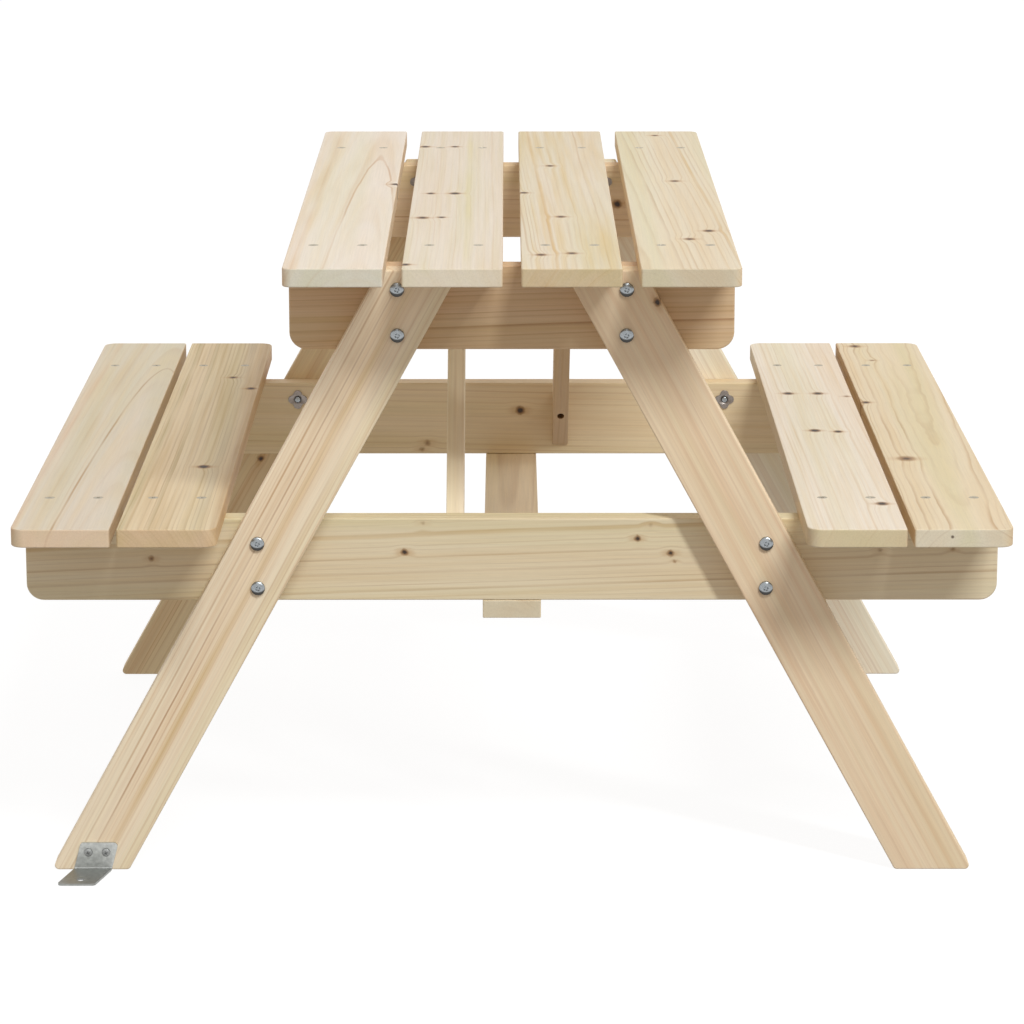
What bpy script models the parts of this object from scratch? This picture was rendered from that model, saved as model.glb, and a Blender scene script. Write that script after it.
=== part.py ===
"""Kids picnic table: four tabletop planks and two benches on two bolted A-frames, in planed softwood.

Metres, +Z up. The origin is on the ground under the middle of the tabletop. X runs across the
benches, Y along the planks, and the front of the table faces -Y.
"""

import math

import bmesh
import bpy
from mathutils import Matrix, Vector

# Tabletop and benches
PLANK_LENGTH = 0.890
PLANK_WIDTH = 0.090
PLANK_THICKNESS = 0.017
TABLE_PLANKS = 4
BENCH_PLANKS = 2
TABLETOP_HEIGHT = 0.590
BENCH_HEIGHT = 0.352
TABLETOP_GAP = 0.0165
BENCH_GAP = 0.0063
BENCH_TO_LEG_GAP = 0.0165
TABLETOP_CORNER_RADIUS = 0.009
BENCH_CORNER_RADIUS = 0.013
PLANK_EDGE_EASE = 0.002

# Crossbeams: an apron under the tabletop and a longer beam under the benches, in each frame
APRON_HEIGHT = 0.078
BENCH_BEAM_HEIGHT = 0.0785
BEAM_THICKNESS = 0.024
BEAM_CORNER_RADIUS = 0.016
BEAM_EDGE_EASE = 0.0015

# Legs: they lean outwards from the apron to the ground, on the outer faces of the crossbeams.
# At the apron their centre lines pass just inside the tabletop's outer gaps, and further at the rear.
LEG_WIDTH = 0.064
LEG_THICKNESS = 0.024
LEG_INSET = 0.0917
LEG_SPREAD_AT_GROUND = 0.2910
FRONT_LEG_INSIDE_GAP = 0.0017
REAR_LEG_INSIDE_GAP = 0.0085
FOOT_CORNER_RADIUS = 0.004
LEG_EDGE_EASE = 0.0015

# Stretcher under the bench beams, and the two diagonal braces
STRETCHER_WIDTH = 0.0545
STRETCHER_THICKNESS = 0.017
BRACE_WIDTH = 0.045
BRACE_THICKNESS = 0.0165
BOARD_EDGE_EASE = 0.001

# Bolts with a domed, cross-recessed head, and the tee nuts they screw into
BOLT_SPACING = 0.0424
BOLT_DIAMETER = 0.006
BOLT_HEAD_DIAMETER = 0.0130
BOLT_HEAD_RIM = 0.0008
BOLT_DOME_HEIGHT = 0.0030
BOLT_TIP_CHAMFER = 0.0010
BOLT_TIP_PROUD = 0.0006
RECESS_SPAN = 0.0052
RECESS_SLOT = 0.0011
RECESS_DEPTH = 0.0020
RECESS_TURN = math.radians(22)
NUT_FLANGE_DIAMETER = 0.0204
NUT_FLANGE_THICKNESS = 0.0012
NUT_BARREL_DIAMETER = 0.0086
NUT_BARREL_LENGTH = 0.0090
NUT_FUNNEL_DIAMETER = 0.0096
NUT_FUNNEL_DEPTH = 0.0014
NUT_NOTCH_DIAMETER = 0.0074
NUT_PRONG_CIRCLE = 0.0130
NUT_PRONG_WIDTH = 0.0018
NUT_PRONG_LENGTH = 0.0055

# Countersinks of the plank screws, and the deep sink of the screw that holds each brace's foot
SINK_DIAMETER = 0.0084
BRACE_SINK_DIAMETER = 0.0075
BRACE_SINK_RISE = 0.0125
BRACE_SINK_FLOOR = 0.020

# Ground anchor: a steel strip folded on a skewed line, screwed to the front left foot
ANCHOR_WIDTH = 0.0355
ANCHOR_THICKNESS = 0.002
ANCHOR_WALL_HEIGHT = 0.0275
ANCHOR_REACH = 0.047
ANCHOR_SKEW = math.radians(14.5)
ANCHOR_BEND_RADIUS = 0.0015
ANCHOR_CORNER_RADIUS = 0.0035
ANCHOR_SIDE_SHIFT = 0.0022
PEG_HOLE_DIAMETER = 0.0080
PEG_HOLE_SETBACK = 0.0128
ANCHOR_SCREW_SPACING = 0.0167
ANCHOR_SCREW_DROP = 0.0095
ANCHOR_SCREW_DIAMETER = 0.004
ANCHOR_SCREW_LENGTH = 0.018
ANCHOR_SCREW_HEAD_DIAMETER = 0.0080
ANCHOR_SCREW_HEAD_HEIGHT = 0.0024

# Clearances: boards that rest on each other, shanks in their bores, and the overrun of every cutter
SEAT_GAP = 0.0003
BORE_CLEARANCE = 0.0003
CUT_OVERRUN = 0.002

# Facets
CORNER_STEPS = 4
EASE_SEGMENTS = 2
BEND_STEPS = 5
TURNED_STEPS = 12
BORE_SIDES = 8
SINK_SIDES = 10
DOME_STEPS = 3
SMOOTH_ANGLE = math.radians(35)
MERGE_DISTANCE = 0.00001

# Places worked out from the sizes above
half_length = PLANK_LENGTH / 2
tabletop_underside = TABLETOP_HEIGHT - PLANK_THICKNESS
bench_underside = BENCH_HEIGHT - PLANK_THICKNESS
tabletop_width = TABLE_PLANKS * PLANK_WIDTH + (TABLE_PLANKS - 1) * TABLETOP_GAP
bench_width = BENCH_PLANKS * PLANK_WIDTH + (BENCH_PLANKS - 1) * BENCH_GAP
pitch = PLANK_WIDTH + TABLETOP_GAP
outer_gap_middle = (TABLE_PLANKS / 2 - 1) * pitch
apron_top = tabletop_underside - SEAT_GAP
apron_middle = apron_top - APRON_HEIGHT / 2
bench_beam_top = bench_underside - SEAT_GAP
bench_beam_middle = bench_beam_top - BENCH_BEAM_HEIGHT / 2
bench_beam_bottom = bench_beam_top - BENCH_BEAM_HEIGHT
leg_to_middle_at_ground = outer_gap_middle + LEG_SPREAD_AT_GROUND
leg_slopes = {
    "front": (LEG_SPREAD_AT_GROUND + FRONT_LEG_INSIDE_GAP) / apron_middle,
    "rear": (LEG_SPREAD_AT_GROUND + REAR_LEG_INSIDE_GAP) / apron_middle,
}

# Distances from the middle of the table to the faces of a frame, along Y
leg_outer_face = half_length - LEG_INSET
leg_inner_face = leg_outer_face - LEG_THICKNESS
beam_outer_face = leg_inner_face - SEAT_GAP
beam_inner_face = beam_outer_face - BEAM_THICKNESS
beam_centre = (beam_outer_face + beam_inner_face) / 2


def leg_centre_at(frame, height):
    """Distance from the middle of the table to the centre line of a frame's legs at this height."""
    return leg_to_middle_at_ground - leg_slopes[frame] * height


def leg_half_cut(frame):
    """Half the width of a leg along a level cut."""
    return LEG_WIDTH / 2 * math.hypot(1, leg_slopes[frame])


bench_inner_edge = leg_centre_at("front", bench_underside) + leg_half_cut("front") + BENCH_TO_LEG_GAP
overall_width = 2 * (bench_inner_edge + bench_width)


for leftover in list(bpy.data.objects):
    bpy.data.objects.remove(leftover)
table = bpy.data.collections.new("kids_picnic_table")
cutters = bpy.data.collections.new("cutters")
bpy.context.scene.collection.children.link(table)
bpy.context.scene.collection.children.link(cutters)


def material(name, colour, roughness, metallic=0.0):
    made = bpy.data.materials.new(name)
    made.use_nodes = True
    shader = made.node_tree.nodes["Principled BSDF"]
    shader.inputs["Base Color"].default_value = (*colour, 1.0)
    shader.inputs["Roughness"].default_value = roughness
    shader.inputs["Metallic"].default_value = metallic
    return made


plank_wood = material("planed_softwood_plank", (0.76, 0.63, 0.45), 0.60)
beam_wood = material("planed_softwood_beam", (0.62, 0.49, 0.31), 0.62)
leg_wood = material("planed_softwood_leg", (0.71, 0.54, 0.36), 0.60)
brace_wood = material("planed_softwood_brace", (0.60, 0.46, 0.29), 0.62)
bolt_steel = material("zinc_plated_bolt", (0.58, 0.59, 0.59), 0.32, 1.0)
nut_steel = material("zinc_plated_tee_nut", (0.50, 0.50, 0.51), 0.40, 1.0)
screw_steel = material("zinc_plated_screw", (0.55, 0.55, 0.55), 0.35, 1.0)
anchor_steel = material("galvanised_strip", (0.45, 0.46, 0.46), 0.45, 1.0)


def empty(name, parent=None, turn=0.0):
    """A guide that carries one group of pieces, turned about the vertical axis."""
    guide = bpy.data.objects.new(name, None)
    guide.parent = parent
    guide.rotation_euler = (0, 0, turn)
    table.objects.link(guide)
    return guide


def piece(name, mesh, finish, parent, location=(0, 0, 0), rotation=(0, 0, 0)):
    """One sub-part of the table as an object of its own."""
    made = bpy.data.objects.new(name, mesh)
    made.parent = parent
    made.location = location
    made.rotation_euler = rotation
    if not mesh.materials:
        mesh.materials.append(finish)
    table.objects.link(made)
    return made


def cut(target, cutter, operation="DIFFERENCE"):
    boolean = target.modifiers.new(operation.lower(), "BOOLEAN")
    boolean.operation = operation
    boolean.object = cutter


def ease_edges(target, width):
    """Rounds the long edges and the ends of a board, as a planing shop leaves them."""
    bevel = target.modifiers.new("eased_edges", "BEVEL")
    bevel.width = width
    bevel.segments = EASE_SEGMENTS
    bevel.limit_method = "ANGLE"
    bevel.angle_limit = SMOOTH_ANGLE


def mesh_from(bm, name):
    bmesh.ops.recalc_face_normals(bm, faces=bm.faces)
    mesh = bpy.data.meshes.new(name)
    bm.to_mesh(mesh)
    bm.free()
    return mesh


def evaluated_mesh(source):
    """The finished mesh of an object, which is then removed."""
    bpy.context.view_layer.update()
    graph = bpy.context.evaluated_depsgraph_get()
    mesh = bpy.data.meshes.new_from_object(source.evaluated_get(graph))
    mesh.name = source.name
    bpy.data.objects.remove(source)
    return mesh


def rounded_outline(corners, radii):
    """The points of a flat outline whose corners are rounded by arcs of these radii."""
    points = []
    for index, (corner, radius) in enumerate(zip(corners, radii)):
        if not radius:
            points.append(corner)
            continue
        back = (corners[index - 1] - corner).normalized()
        ahead = (corners[(index + 1) % len(corners)] - corner).normalized()
        half_angle = back.angle(ahead) / 2
        tangent = radius / math.tan(half_angle)
        centre = corner + (back + ahead).normalized() * radius / math.sin(half_angle)
        first = (corner + back * tangent - centre).normalized()
        last = (corner + ahead * tangent - centre).normalized()
        for step in range(CORNER_STEPS + 1):
            points.append(centre + radius * first.slerp(last, step / CORNER_STEPS))
    return points


def flat_bmesh(name, outline, thickness):
    """A closed slab with this outline, its mid plane at zero, as a bmesh."""
    curve = bpy.data.curves.new(name, "CURVE")
    curve.dimensions = "2D"
    curve.fill_mode = "BOTH"
    curve.extrude = thickness / 2
    spline = curve.splines.new("POLY")
    spline.points.add(len(outline) - 1)
    for point, place in zip(spline.points, outline):
        point.co = (*place, 0, 1)
    spline.use_cyclic_u = True
    guide = bpy.data.objects.new(name, curve)
    table.objects.link(guide)
    bm = bmesh.new()
    bm.from_mesh(evaluated_mesh(guide))
    bmesh.ops.remove_doubles(bm, verts=bm.verts, dist=MERGE_DISTANCE)
    bmesh.ops.dissolve_limit(bm, angle_limit=math.radians(1), verts=bm.verts, edges=bm.edges)
    return bm


def board_mesh(name, outline, thickness):
    return mesh_from(flat_bmesh(name, outline, thickness), name)


def box_corners(width, height):
    """The corners of a rectangle about its middle: left bottom, right bottom, right top, left top."""
    shares = ((-1, -1), (1, -1), (1, 1), (-1, 1))
    return [Vector((across * width / 2, up * height / 2)) for across, up in shares]


def turned(name, profile, closed):
    """A turned blank: the profile runs down its outer side, and Screw sweeps it round Z."""
    edges = [(index, index + 1) for index in range(len(profile) - 1)]
    if closed:
        edges.append((len(profile) - 1, 0))
    mesh = bpy.data.meshes.new(name)
    mesh.from_pydata([(radius, 0, height) for radius, height in profile], edges, [])
    blank = bpy.data.objects.new(name, mesh)
    table.objects.link(blank)
    screw = blank.modifiers.new("turned", "SCREW")
    screw.steps = TURNED_STEPS
    screw.render_steps = TURNED_STEPS
    screw.use_merge_vertices = True
    screw.merge_threshold = MERGE_DISTANCE
    return blank


def shade_round(mesh):
    mesh.shade_smooth()
    mesh.set_sharp_from_angle(angle=SMOOTH_ANGLE)


def clear_radius(radius):
    """Corner radius of a many-sided bore whose flats clear a shank of this radius."""
    return (radius + BORE_CLEARANCE) / math.cos(math.pi / BORE_SIDES)


def cutter(name, shapes, sides):
    """One hidden object of cones: each has its place, its radii at -Z and at +Z, and its length."""
    bm = bmesh.new()
    for place, low_radius, high_radius, length in shapes:
        bmesh.ops.create_cone(
            bm,
            cap_ends=True,
            segments=sides,
            radius1=low_radius,
            radius2=high_radius,
            depth=length,
            matrix=place,
        )
    made = bpy.data.objects.new(name, mesh_from(bm, name))
    made.display_type = "WIRE"
    made.hide_render = True
    cutters.objects.link(made)
    return made


def box_cutter(name, size, places):
    """One hidden object of equal boxes at these places."""
    bm = bmesh.new()
    for place in places:
        bmesh.ops.create_cube(bm, size=1, matrix=place @ Matrix.Diagonal((*size, 1)))
    made = bpy.data.objects.new(name, mesh_from(bm, name))
    made.display_type = "WIRE"
    made.hide_render = True
    cutters.objects.link(made)
    return made


whole = empty("picnic_table")
frames = {
    "front": empty("front_frame", whole),
    "rear": empty("rear_frame", whole, math.pi),
}
# The rear frame is the front one turned half round, so its left is the other way round
frame_turns = {"front": 0.0, "rear": math.pi}
sides_of = {"front": {"left": -1, "right": 1}, "rear": {"left": 1, "right": -1}}
standing = (math.pi / 2, 0, 0)
along_planks = (math.pi / 2, 0, math.pi / 2)
face_out = Matrix.Rotation(math.pi / 2, 4, "X")


def bolt_places():
    """(frame, side, beam, level, X, Z) of every bolt, X and Z in the frame's own axes."""
    for frame, sides in sides_of.items():
        for side, sign in sides.items():
            for beam, middle in (("apron", apron_middle), ("beam", bench_beam_middle)):
                for level, up in (("upper", 1), ("lower", -1)):
                    height = middle + up * BOLT_SPACING / 2
                    yield frame, side, beam, level, sign * leg_centre_at(frame, middle), height


# Bores through legs and crossbeams, and the sockets of the tee nuts in the inner faces
nut_radius = NUT_FLANGE_DIAMETER / 2
barrel_radius = NUT_BARREL_DIAMETER / 2
prong_radius = NUT_PRONG_CIRCLE / 2
notch_radius = prong_radius + NUT_PRONG_WIDTH / 2 + SEAT_GAP + NUT_NOTCH_DIAMETER / 2
prong_turns = [math.pi / 4 + quarter * math.pi / 2 for quarter in range(4)]
prong_depth = NUT_PRONG_LENGTH - SEAT_GAP
bore_length = LEG_THICKNESS + SEAT_GAP + BEAM_THICKNESS + 2 * CUT_OVERRUN
bore_centre = (leg_outer_face + beam_inner_face) / 2
bores, sockets, pockets = [], [], []
for frame, _, _, _, across, height in bolt_places():
    turn = Matrix.Rotation(frame_turns[frame], 4, "Z")
    axis = turn @ Matrix.Translation((across, -bore_centre, height)) @ face_out
    bore_radius = clear_radius(BOLT_DIAMETER / 2)
    bores.append((axis, bore_radius, bore_radius, bore_length))
    mouth = turn @ Matrix.Translation((across, -beam_inner_face, height)) @ face_out
    socket_depth = NUT_BARREL_LENGTH - NUT_FLANGE_THICKNESS
    socket_length = socket_depth + CUT_OVERRUN
    socket_radius = clear_radius(barrel_radius)
    sink = Matrix.Translation((0, 0, socket_depth - socket_length / 2))
    sockets.append((mouth @ sink, socket_radius, socket_radius, socket_length))
    pocket_length = prong_depth + BORE_CLEARANCE + CUT_OVERRUN
    for prong_turn in prong_turns:
        spoke = Matrix.Rotation(prong_turn, 4, "Z") @ Matrix.Translation((prong_radius, 0, 0))
        pocket = Matrix.Translation((0, 0, pocket_length / 2 - CUT_OVERRUN))
        square_radius = (NUT_PRONG_WIDTH / 2 + BORE_CLEARANCE) * math.sqrt(2)
        quarter_turn = Matrix.Rotation(math.pi / 4, 4, "Z")
        place = mouth @ spoke @ pocket @ quarter_turn
        pockets.append((place, square_radius, square_radius, pocket_length))
bolt_bores = cutter("bolt_bores", bores, BORE_SIDES)
nut_sockets = cutter("nut_sockets", sockets, BORE_SIDES)
prong_pockets = cutter("prong_pockets", pockets, 4)


def screw_sinks(name, middles, top):
    """Cone-shaped countersinks, two in each plank over each crossbeam."""
    reach = SINK_DIAMETER / 2 + CUT_OVERRUN
    lift = top + CUT_OVERRUN - reach / 2
    shapes = []
    for middle in middles:
        for across in (-PLANK_WIDTH / 4, PLANK_WIDTH / 4):
            for along in (-beam_centre, beam_centre):
                place = Matrix.Translation((middle + across, along, lift))
                shapes.append((place, 0, reach, reach))
    return cutter(name, shapes, SINK_SIDES)


# Tabletop planks, left to right: the outer corners of the outer two are rounded
def plank_mesh(name, radii):
    outline = rounded_outline(box_corners(PLANK_WIDTH, PLANK_LENGTH), radii)
    return board_mesh(name, outline, PLANK_THICKNESS)


def corner_radii(side, radius):
    """Radii of a plank's corners, rounded on its left side, its right side or not at all."""
    left = radius if side == "left" else 0
    right = radius if side == "right" else 0
    return (left, right, right, left)


table_middles = [(index - (TABLE_PLANKS - 1) / 2) * pitch for index in range(TABLE_PLANKS)]
tabletop_sinks = screw_sinks("tabletop_screw_sinks", table_middles, TABLETOP_HEIGHT)
for index, middle in enumerate(table_middles):
    rounded = {0: "left", TABLE_PLANKS - 1: "right"}.get(index)
    name = f"tabletop_plank_{index + 1}"
    mesh = plank_mesh(name, corner_radii(rounded, TABLETOP_CORNER_RADIUS))
    height = TABLETOP_HEIGHT - PLANK_THICKNESS / 2
    plank = piece(name, mesh, plank_wood, whole, (middle, 0, height))
    ease_edges(plank, PLANK_EDGE_EASE)
    cut(plank, tabletop_sinks)

# Bench planks: rounded on the outer side of the outer plank and the table side of the inner one
bench_pitch = PLANK_WIDTH + BENCH_GAP
bench_middles = {
    "inner": bench_inner_edge + PLANK_WIDTH / 2,
    "outer": bench_inner_edge + PLANK_WIDTH / 2 + bench_pitch,
}
signed_middles = [sign * middle for sign in (-1, 1) for middle in bench_middles.values()]
bench_sinks = screw_sinks("bench_screw_sinks", signed_middles, BENCH_HEIGHT)
for bench, sign in (("left", -1), ("right", 1)):
    for rank, middle in bench_middles.items():
        facing_left = (bench == "left") == (rank == "outer")
        name = f"bench_plank_{bench}_{rank}"
        mesh = plank_mesh(name, corner_radii("left" if facing_left else "right", BENCH_CORNER_RADIUS))
        height = BENCH_HEIGHT - PLANK_THICKNESS / 2
        plank = piece(name, mesh, plank_wood, whole, (sign * middle, 0, height))
        ease_edges(plank, PLANK_EDGE_EASE)
        cut(plank, bench_sinks)


# Crossbeams: rounded at their lower outer corners
def beam_mesh(name, length, height):
    radii = (BEAM_CORNER_RADIUS, BEAM_CORNER_RADIUS, 0, 0)
    return board_mesh(name, rounded_outline(box_corners(length, height), radii), BEAM_THICKNESS)


apron_mesh = beam_mesh("apron", tabletop_width, APRON_HEIGHT)
bench_beam_mesh = beam_mesh("bench_beam", overall_width, BENCH_BEAM_HEIGHT)
for frame, parent in frames.items():
    for kind, mesh, height in (
        ("apron", apron_mesh, apron_middle),
        ("bench_beam", bench_beam_mesh, bench_beam_middle),
    ):
        beam = piece(f"{kind}_{frame}", mesh, beam_wood, parent, (0, -beam_centre, height), standing)
        ease_edges(beam, BEAM_EDGE_EASE)
        cut(beam, bolt_bores)
        cut(beam, nut_sockets)
        cut(beam, prong_pockets)

# Legs: cut level at the apron's top and at the ground, with the toe and heel corners rounded
leg_middle = (leg_outer_face + leg_inner_face) / 2
for frame, parent in frames.items():
    half_cut, top_centre = leg_half_cut(frame), leg_centre_at(frame, apron_top)
    leg_corners = [
        Vector((-leg_to_middle_at_ground - half_cut, 0)),
        Vector((-leg_to_middle_at_ground + half_cut, 0)),
        Vector((-top_centre + half_cut, apron_top)),
        Vector((-top_centre - half_cut, apron_top)),
    ]
    leg_outline = rounded_outline(leg_corners, (FOOT_CORNER_RADIUS, FOOT_CORNER_RADIUS, 0, 0))
    leg_mesh = board_mesh(f"{frame}_leg", leg_outline, LEG_THICKNESS)
    for side, sign in sides_of[frame].items():
        # The outline leans to -X, and half a turn about the vertical makes it lean to +X
        turn = 0 if sign < 0 else math.pi
        rotation = (math.pi / 2, 0, turn)
        leg = piece(f"leg_{frame}_{side}", leg_mesh, leg_wood, parent, (0, -leg_middle, 0), rotation)
        ease_edges(leg, LEG_EDGE_EASE)
        cut(leg, bolt_bores)
        if (frame, side) == ("front", "left"):
            anchored_leg = leg

# Stretcher: one flat board screwed up under both bench beams
stretcher_corners = box_corners(STRETCHER_WIDTH, 2 * beam_outer_face)
stretcher_mesh = board_mesh("stretcher", stretcher_corners, STRETCHER_THICKNESS)
stretcher_height = bench_beam_bottom - SEAT_GAP - STRETCHER_THICKNESS / 2
stretcher = piece("stretcher", stretcher_mesh, brace_wood, whole, (0, 0, stretcher_height))
ease_edges(stretcher, BOARD_EDGE_EASE)

# Diagonal braces: plumb cut against a bench beam, level cut under the middle of a tabletop plank
brace_start = -beam_inner_face + SEAT_GAP
brace_angle = math.atan2(apron_top - bench_beam_middle, -brace_start)
plumb_half = BRACE_WIDTH / 2 / math.cos(brace_angle)
level_half = BRACE_WIDTH / 2 / math.sin(brace_angle)
brace_outline = [
    Vector((brace_start, bench_beam_middle - plumb_half)),
    Vector((level_half, apron_top)),
    Vector((-level_half, apron_top)),
    Vector((brace_start, bench_beam_middle + plumb_half)),
]
brace_mesh = board_mesh("brace", brace_outline, BRACE_THICKNESS)
brace_middle = table_middles[TABLE_PLANKS // 2 - 1]

# A level hole from each brace's lower edge towards the beam, which its screw's head goes down into
brace_sink_radius = BRACE_SINK_DIAMETER / 2
brace_sink_start = brace_start + BRACE_SINK_FLOOR
brace_sink_climb = plumb_half + BRACE_SINK_RISE + brace_sink_radius
brace_sink_end = brace_start + brace_sink_climb / math.tan(brace_angle) + CUT_OVERRUN
brace_sinks = []
for turn in frame_turns.values():
    place = Matrix.Translation((
        brace_middle,
        (brace_sink_start + brace_sink_end) / 2,
        bench_beam_middle + BRACE_SINK_RISE,
    ))
    axis = Matrix.Rotation(turn, 4, "Z") @ place @ face_out
    length = brace_sink_end - brace_sink_start
    brace_sinks.append((axis, brace_sink_radius, brace_sink_radius, length))
brace_sink_cutter = cutter("brace_screw_sinks", brace_sinks, SINK_SIDES)
for side, parent in (("left", frames["front"]), ("right", frames["rear"])):
    brace = piece(f"brace_{side}", brace_mesh, brace_wood, parent, (brace_middle, 0, 0), along_planks)
    ease_edges(brace, BOARD_EDGE_EASE)
    cut(brace, brace_sink_cutter)

# Bolt: a domed head on a plain shank, with a cross recess for the driver
head_radius = BOLT_HEAD_DIAMETER / 2
shank_radius = BOLT_DIAMETER / 2
grip = 2 * SEAT_GAP + LEG_THICKNESS + BEAM_THICKNESS + SEAT_GAP
bolt_length = grip + NUT_FLANGE_THICKNESS + BOLT_TIP_PROUD


def domed_profile(radius, rim, dome, steps):
    """(radius, height) from the crown of a dome down to the underside of its rim."""
    points = []
    for step in range(steps + 1):
        angle = math.pi / 2 * step / steps
        points.append((radius * math.sin(angle), rim + dome * math.cos(angle)))
    return points + [(radius, 0)]


bolt_profile = domed_profile(head_radius, BOLT_HEAD_RIM, BOLT_DOME_HEIGHT, DOME_STEPS) + [
    (shank_radius, 0),
    (shank_radius, BOLT_TIP_CHAMFER - bolt_length),
    (shank_radius - BOLT_TIP_CHAMFER, -bolt_length),
    (0, -bolt_length),
]
recess_length = RECESS_DEPTH + CUT_OVERRUN
recess_lift = BOLT_HEAD_RIM + BOLT_DOME_HEIGHT + CUT_OVERRUN - recess_length / 2
recess_places = [
    Matrix.Translation((0, 0, recess_lift)) @ Matrix.Rotation(RECESS_TURN + turn, 4, "Z")
    for turn in (0, math.pi / 2)
]
bolt_blank = turned("bolt", bolt_profile, closed=False)
for number, place in enumerate(recess_places):
    size = (RECESS_SPAN, RECESS_SLOT, recess_length)
    cut(bolt_blank, box_cutter(f"bolt_recess_{number + 1}", size, [place]))
bolt_mesh = evaluated_mesh(bolt_blank)
shade_round(bolt_mesh)

# Tee nut: a drawn barrel with a notched flange, and four prongs bent down out of the notches
nut_profile = [
    (NUT_FUNNEL_DIAMETER / 2, 0),
    (nut_radius, 0),
    (nut_radius, -NUT_FLANGE_THICKNESS),
    (barrel_radius, -NUT_FLANGE_THICKNESS),
    (barrel_radius, -NUT_BARREL_LENGTH),
    (shank_radius + BORE_CLEARANCE, -NUT_BARREL_LENGTH),
    (shank_radius + BORE_CLEARANCE, -NUT_FUNNEL_DEPTH),
]
notches, prongs = [], []
for prong_turn in prong_turns:
    spoke = Matrix.Rotation(prong_turn, 4, "Z")
    notch_length = NUT_FLANGE_THICKNESS + 2 * CUT_OVERRUN
    notch_place = spoke @ Matrix.Translation((notch_radius, 0, -NUT_FLANGE_THICKNESS / 2))
    notches.append((notch_place, NUT_NOTCH_DIAMETER / 2, NUT_NOTCH_DIAMETER / 2, notch_length))
    prong_length = NUT_PRONG_LENGTH + NUT_FLANGE_THICKNESS / 2
    prong_middle = -NUT_FLANGE_THICKNESS / 2 - prong_length / 2
    prong_place = spoke @ Matrix.Translation((prong_radius, 0, prong_middle))
    square_radius = NUT_PRONG_WIDTH / 2 * math.sqrt(2)
    prongs.append((prong_place @ Matrix.Rotation(math.pi / 4, 4, "Z"), 0, square_radius, prong_length))
nut_blank = turned("tee_nut", nut_profile, closed=True)
cut(nut_blank, cutter("nut_notches", notches, BORE_SIDES))
cut(nut_blank, cutter("nut_prongs", prongs, 4), "UNION")
nut_mesh = evaluated_mesh(nut_blank)
shade_round(nut_mesh)

# Every bolt with its nut: the head outside on the leg, the flange inside on the crossbeam
head_seat = leg_outer_face + SEAT_GAP
flange_seat = beam_inner_face - SEAT_GAP - NUT_FLANGE_THICKNESS
for frame, side, beam, level, across, height in bolt_places():
    label = f"{frame}_{side}_{beam}_{level}"
    piece(f"bolt_{label}", bolt_mesh, bolt_steel, frames[frame], (across, -head_seat, height), standing)
    inward = (-math.pi / 2, 0, 0)
    piece(f"tee_nut_{label}", nut_mesh, nut_steel, frames[frame], (across, -flange_seat, height), inward)

# Ground anchor: the blank is cut flat and then folded, so its two halves are one skewed strip
neutral_radius = ANCHOR_BEND_RADIUS + ANCHOR_THICKNESS / 2
bend_length = neutral_radius * math.pi / 2
corner_rise = ANCHOR_THICKNESS + ANCHOR_BEND_RADIUS
wall_flat = ANCHOR_WALL_HEIGHT - corner_rise
reach_flat = ANCHOR_REACH - corner_rise
drift = math.tan(ANCHOR_SKEW)
blank_corners = [
    Vector((-ANCHOR_WIDTH / 2 - reach_flat * drift, -reach_flat)),
    Vector((ANCHOR_WIDTH / 2 - reach_flat * drift, -reach_flat)),
    Vector((ANCHOR_WIDTH / 2 + (bend_length + wall_flat) * drift, bend_length + wall_flat)),
    Vector((-ANCHOR_WIDTH / 2 + (bend_length + wall_flat) * drift, bend_length + wall_flat)),
]
blank_outline = rounded_outline(blank_corners, [ANCHOR_CORNER_RADIUS] * 4)
blank = flat_bmesh("ground_anchor", blank_outline, ANCHOR_THICKNESS)
for step in range(BEND_STEPS + 1):
    line = Vector((0, bend_length * step / BEND_STEPS, 0))
    everything = [*blank.verts, *blank.edges, *blank.faces]
    bmesh.ops.bisect_plane(blank, geom=everything, dist=MERGE_DISTANCE, plane_co=line, plane_no=(0, 1, 0))
wall_back = -leg_outer_face - SEAT_GAP
fold_line = wall_back - corner_rise
for vertex in blank.verts:
    across, along, level = vertex.co
    level += ANCHOR_THICKNESS / 2
    angle = min(max(along, 0), bend_length) / neutral_radius
    flat_run = min(along, 0)
    flat_rise = max(along - bend_length, 0)
    radius = corner_rise - level
    vertex.co = (
        across,
        fold_line + flat_run + radius * math.sin(angle),
        corner_rise - radius * math.cos(angle) + flat_rise,
    )
anchor_middle = -leg_to_middle_at_ground + ANCHOR_SIDE_SHIFT
anchor_mesh = mesh_from(blank, "ground_anchor")
anchor = piece("ground_anchor", anchor_mesh, anchor_steel, whole, (anchor_middle, 0, 0))

# Holes of the anchor: one for a ground peg, two for the screws into the foot
hole_length = ANCHOR_THICKNESS + 2 * CUT_OVERRUN
peg_run = reach_flat - PEG_HOLE_SETBACK
peg_place = Matrix.Translation((anchor_middle - peg_run * drift, fold_line - peg_run, ANCHOR_THICKNESS / 2))
peg_radius = PEG_HOLE_DIAMETER / 2
cut(anchor, cutter("peg_hole", [(peg_place, peg_radius, peg_radius, hole_length)], TURNED_STEPS))
screw_height = ANCHOR_WALL_HEIGHT - ANCHOR_SCREW_DROP
screw_drift = (bend_length + screw_height - corner_rise) * drift
screw_radius = ANCHOR_SCREW_DIAMETER / 2
pilot_length = ANCHOR_SCREW_LENGTH + BORE_CLEARANCE + CUT_OVERRUN
pilot_middle = wall_back - ANCHOR_THICKNESS - CUT_OVERRUN + pilot_length / 2
anchor_screws = {
    side: anchor_middle + screw_drift + sign * ANCHOR_SCREW_SPACING / 2
    for side, sign in (("left", -1), ("right", 1))
}
pilots = []
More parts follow.
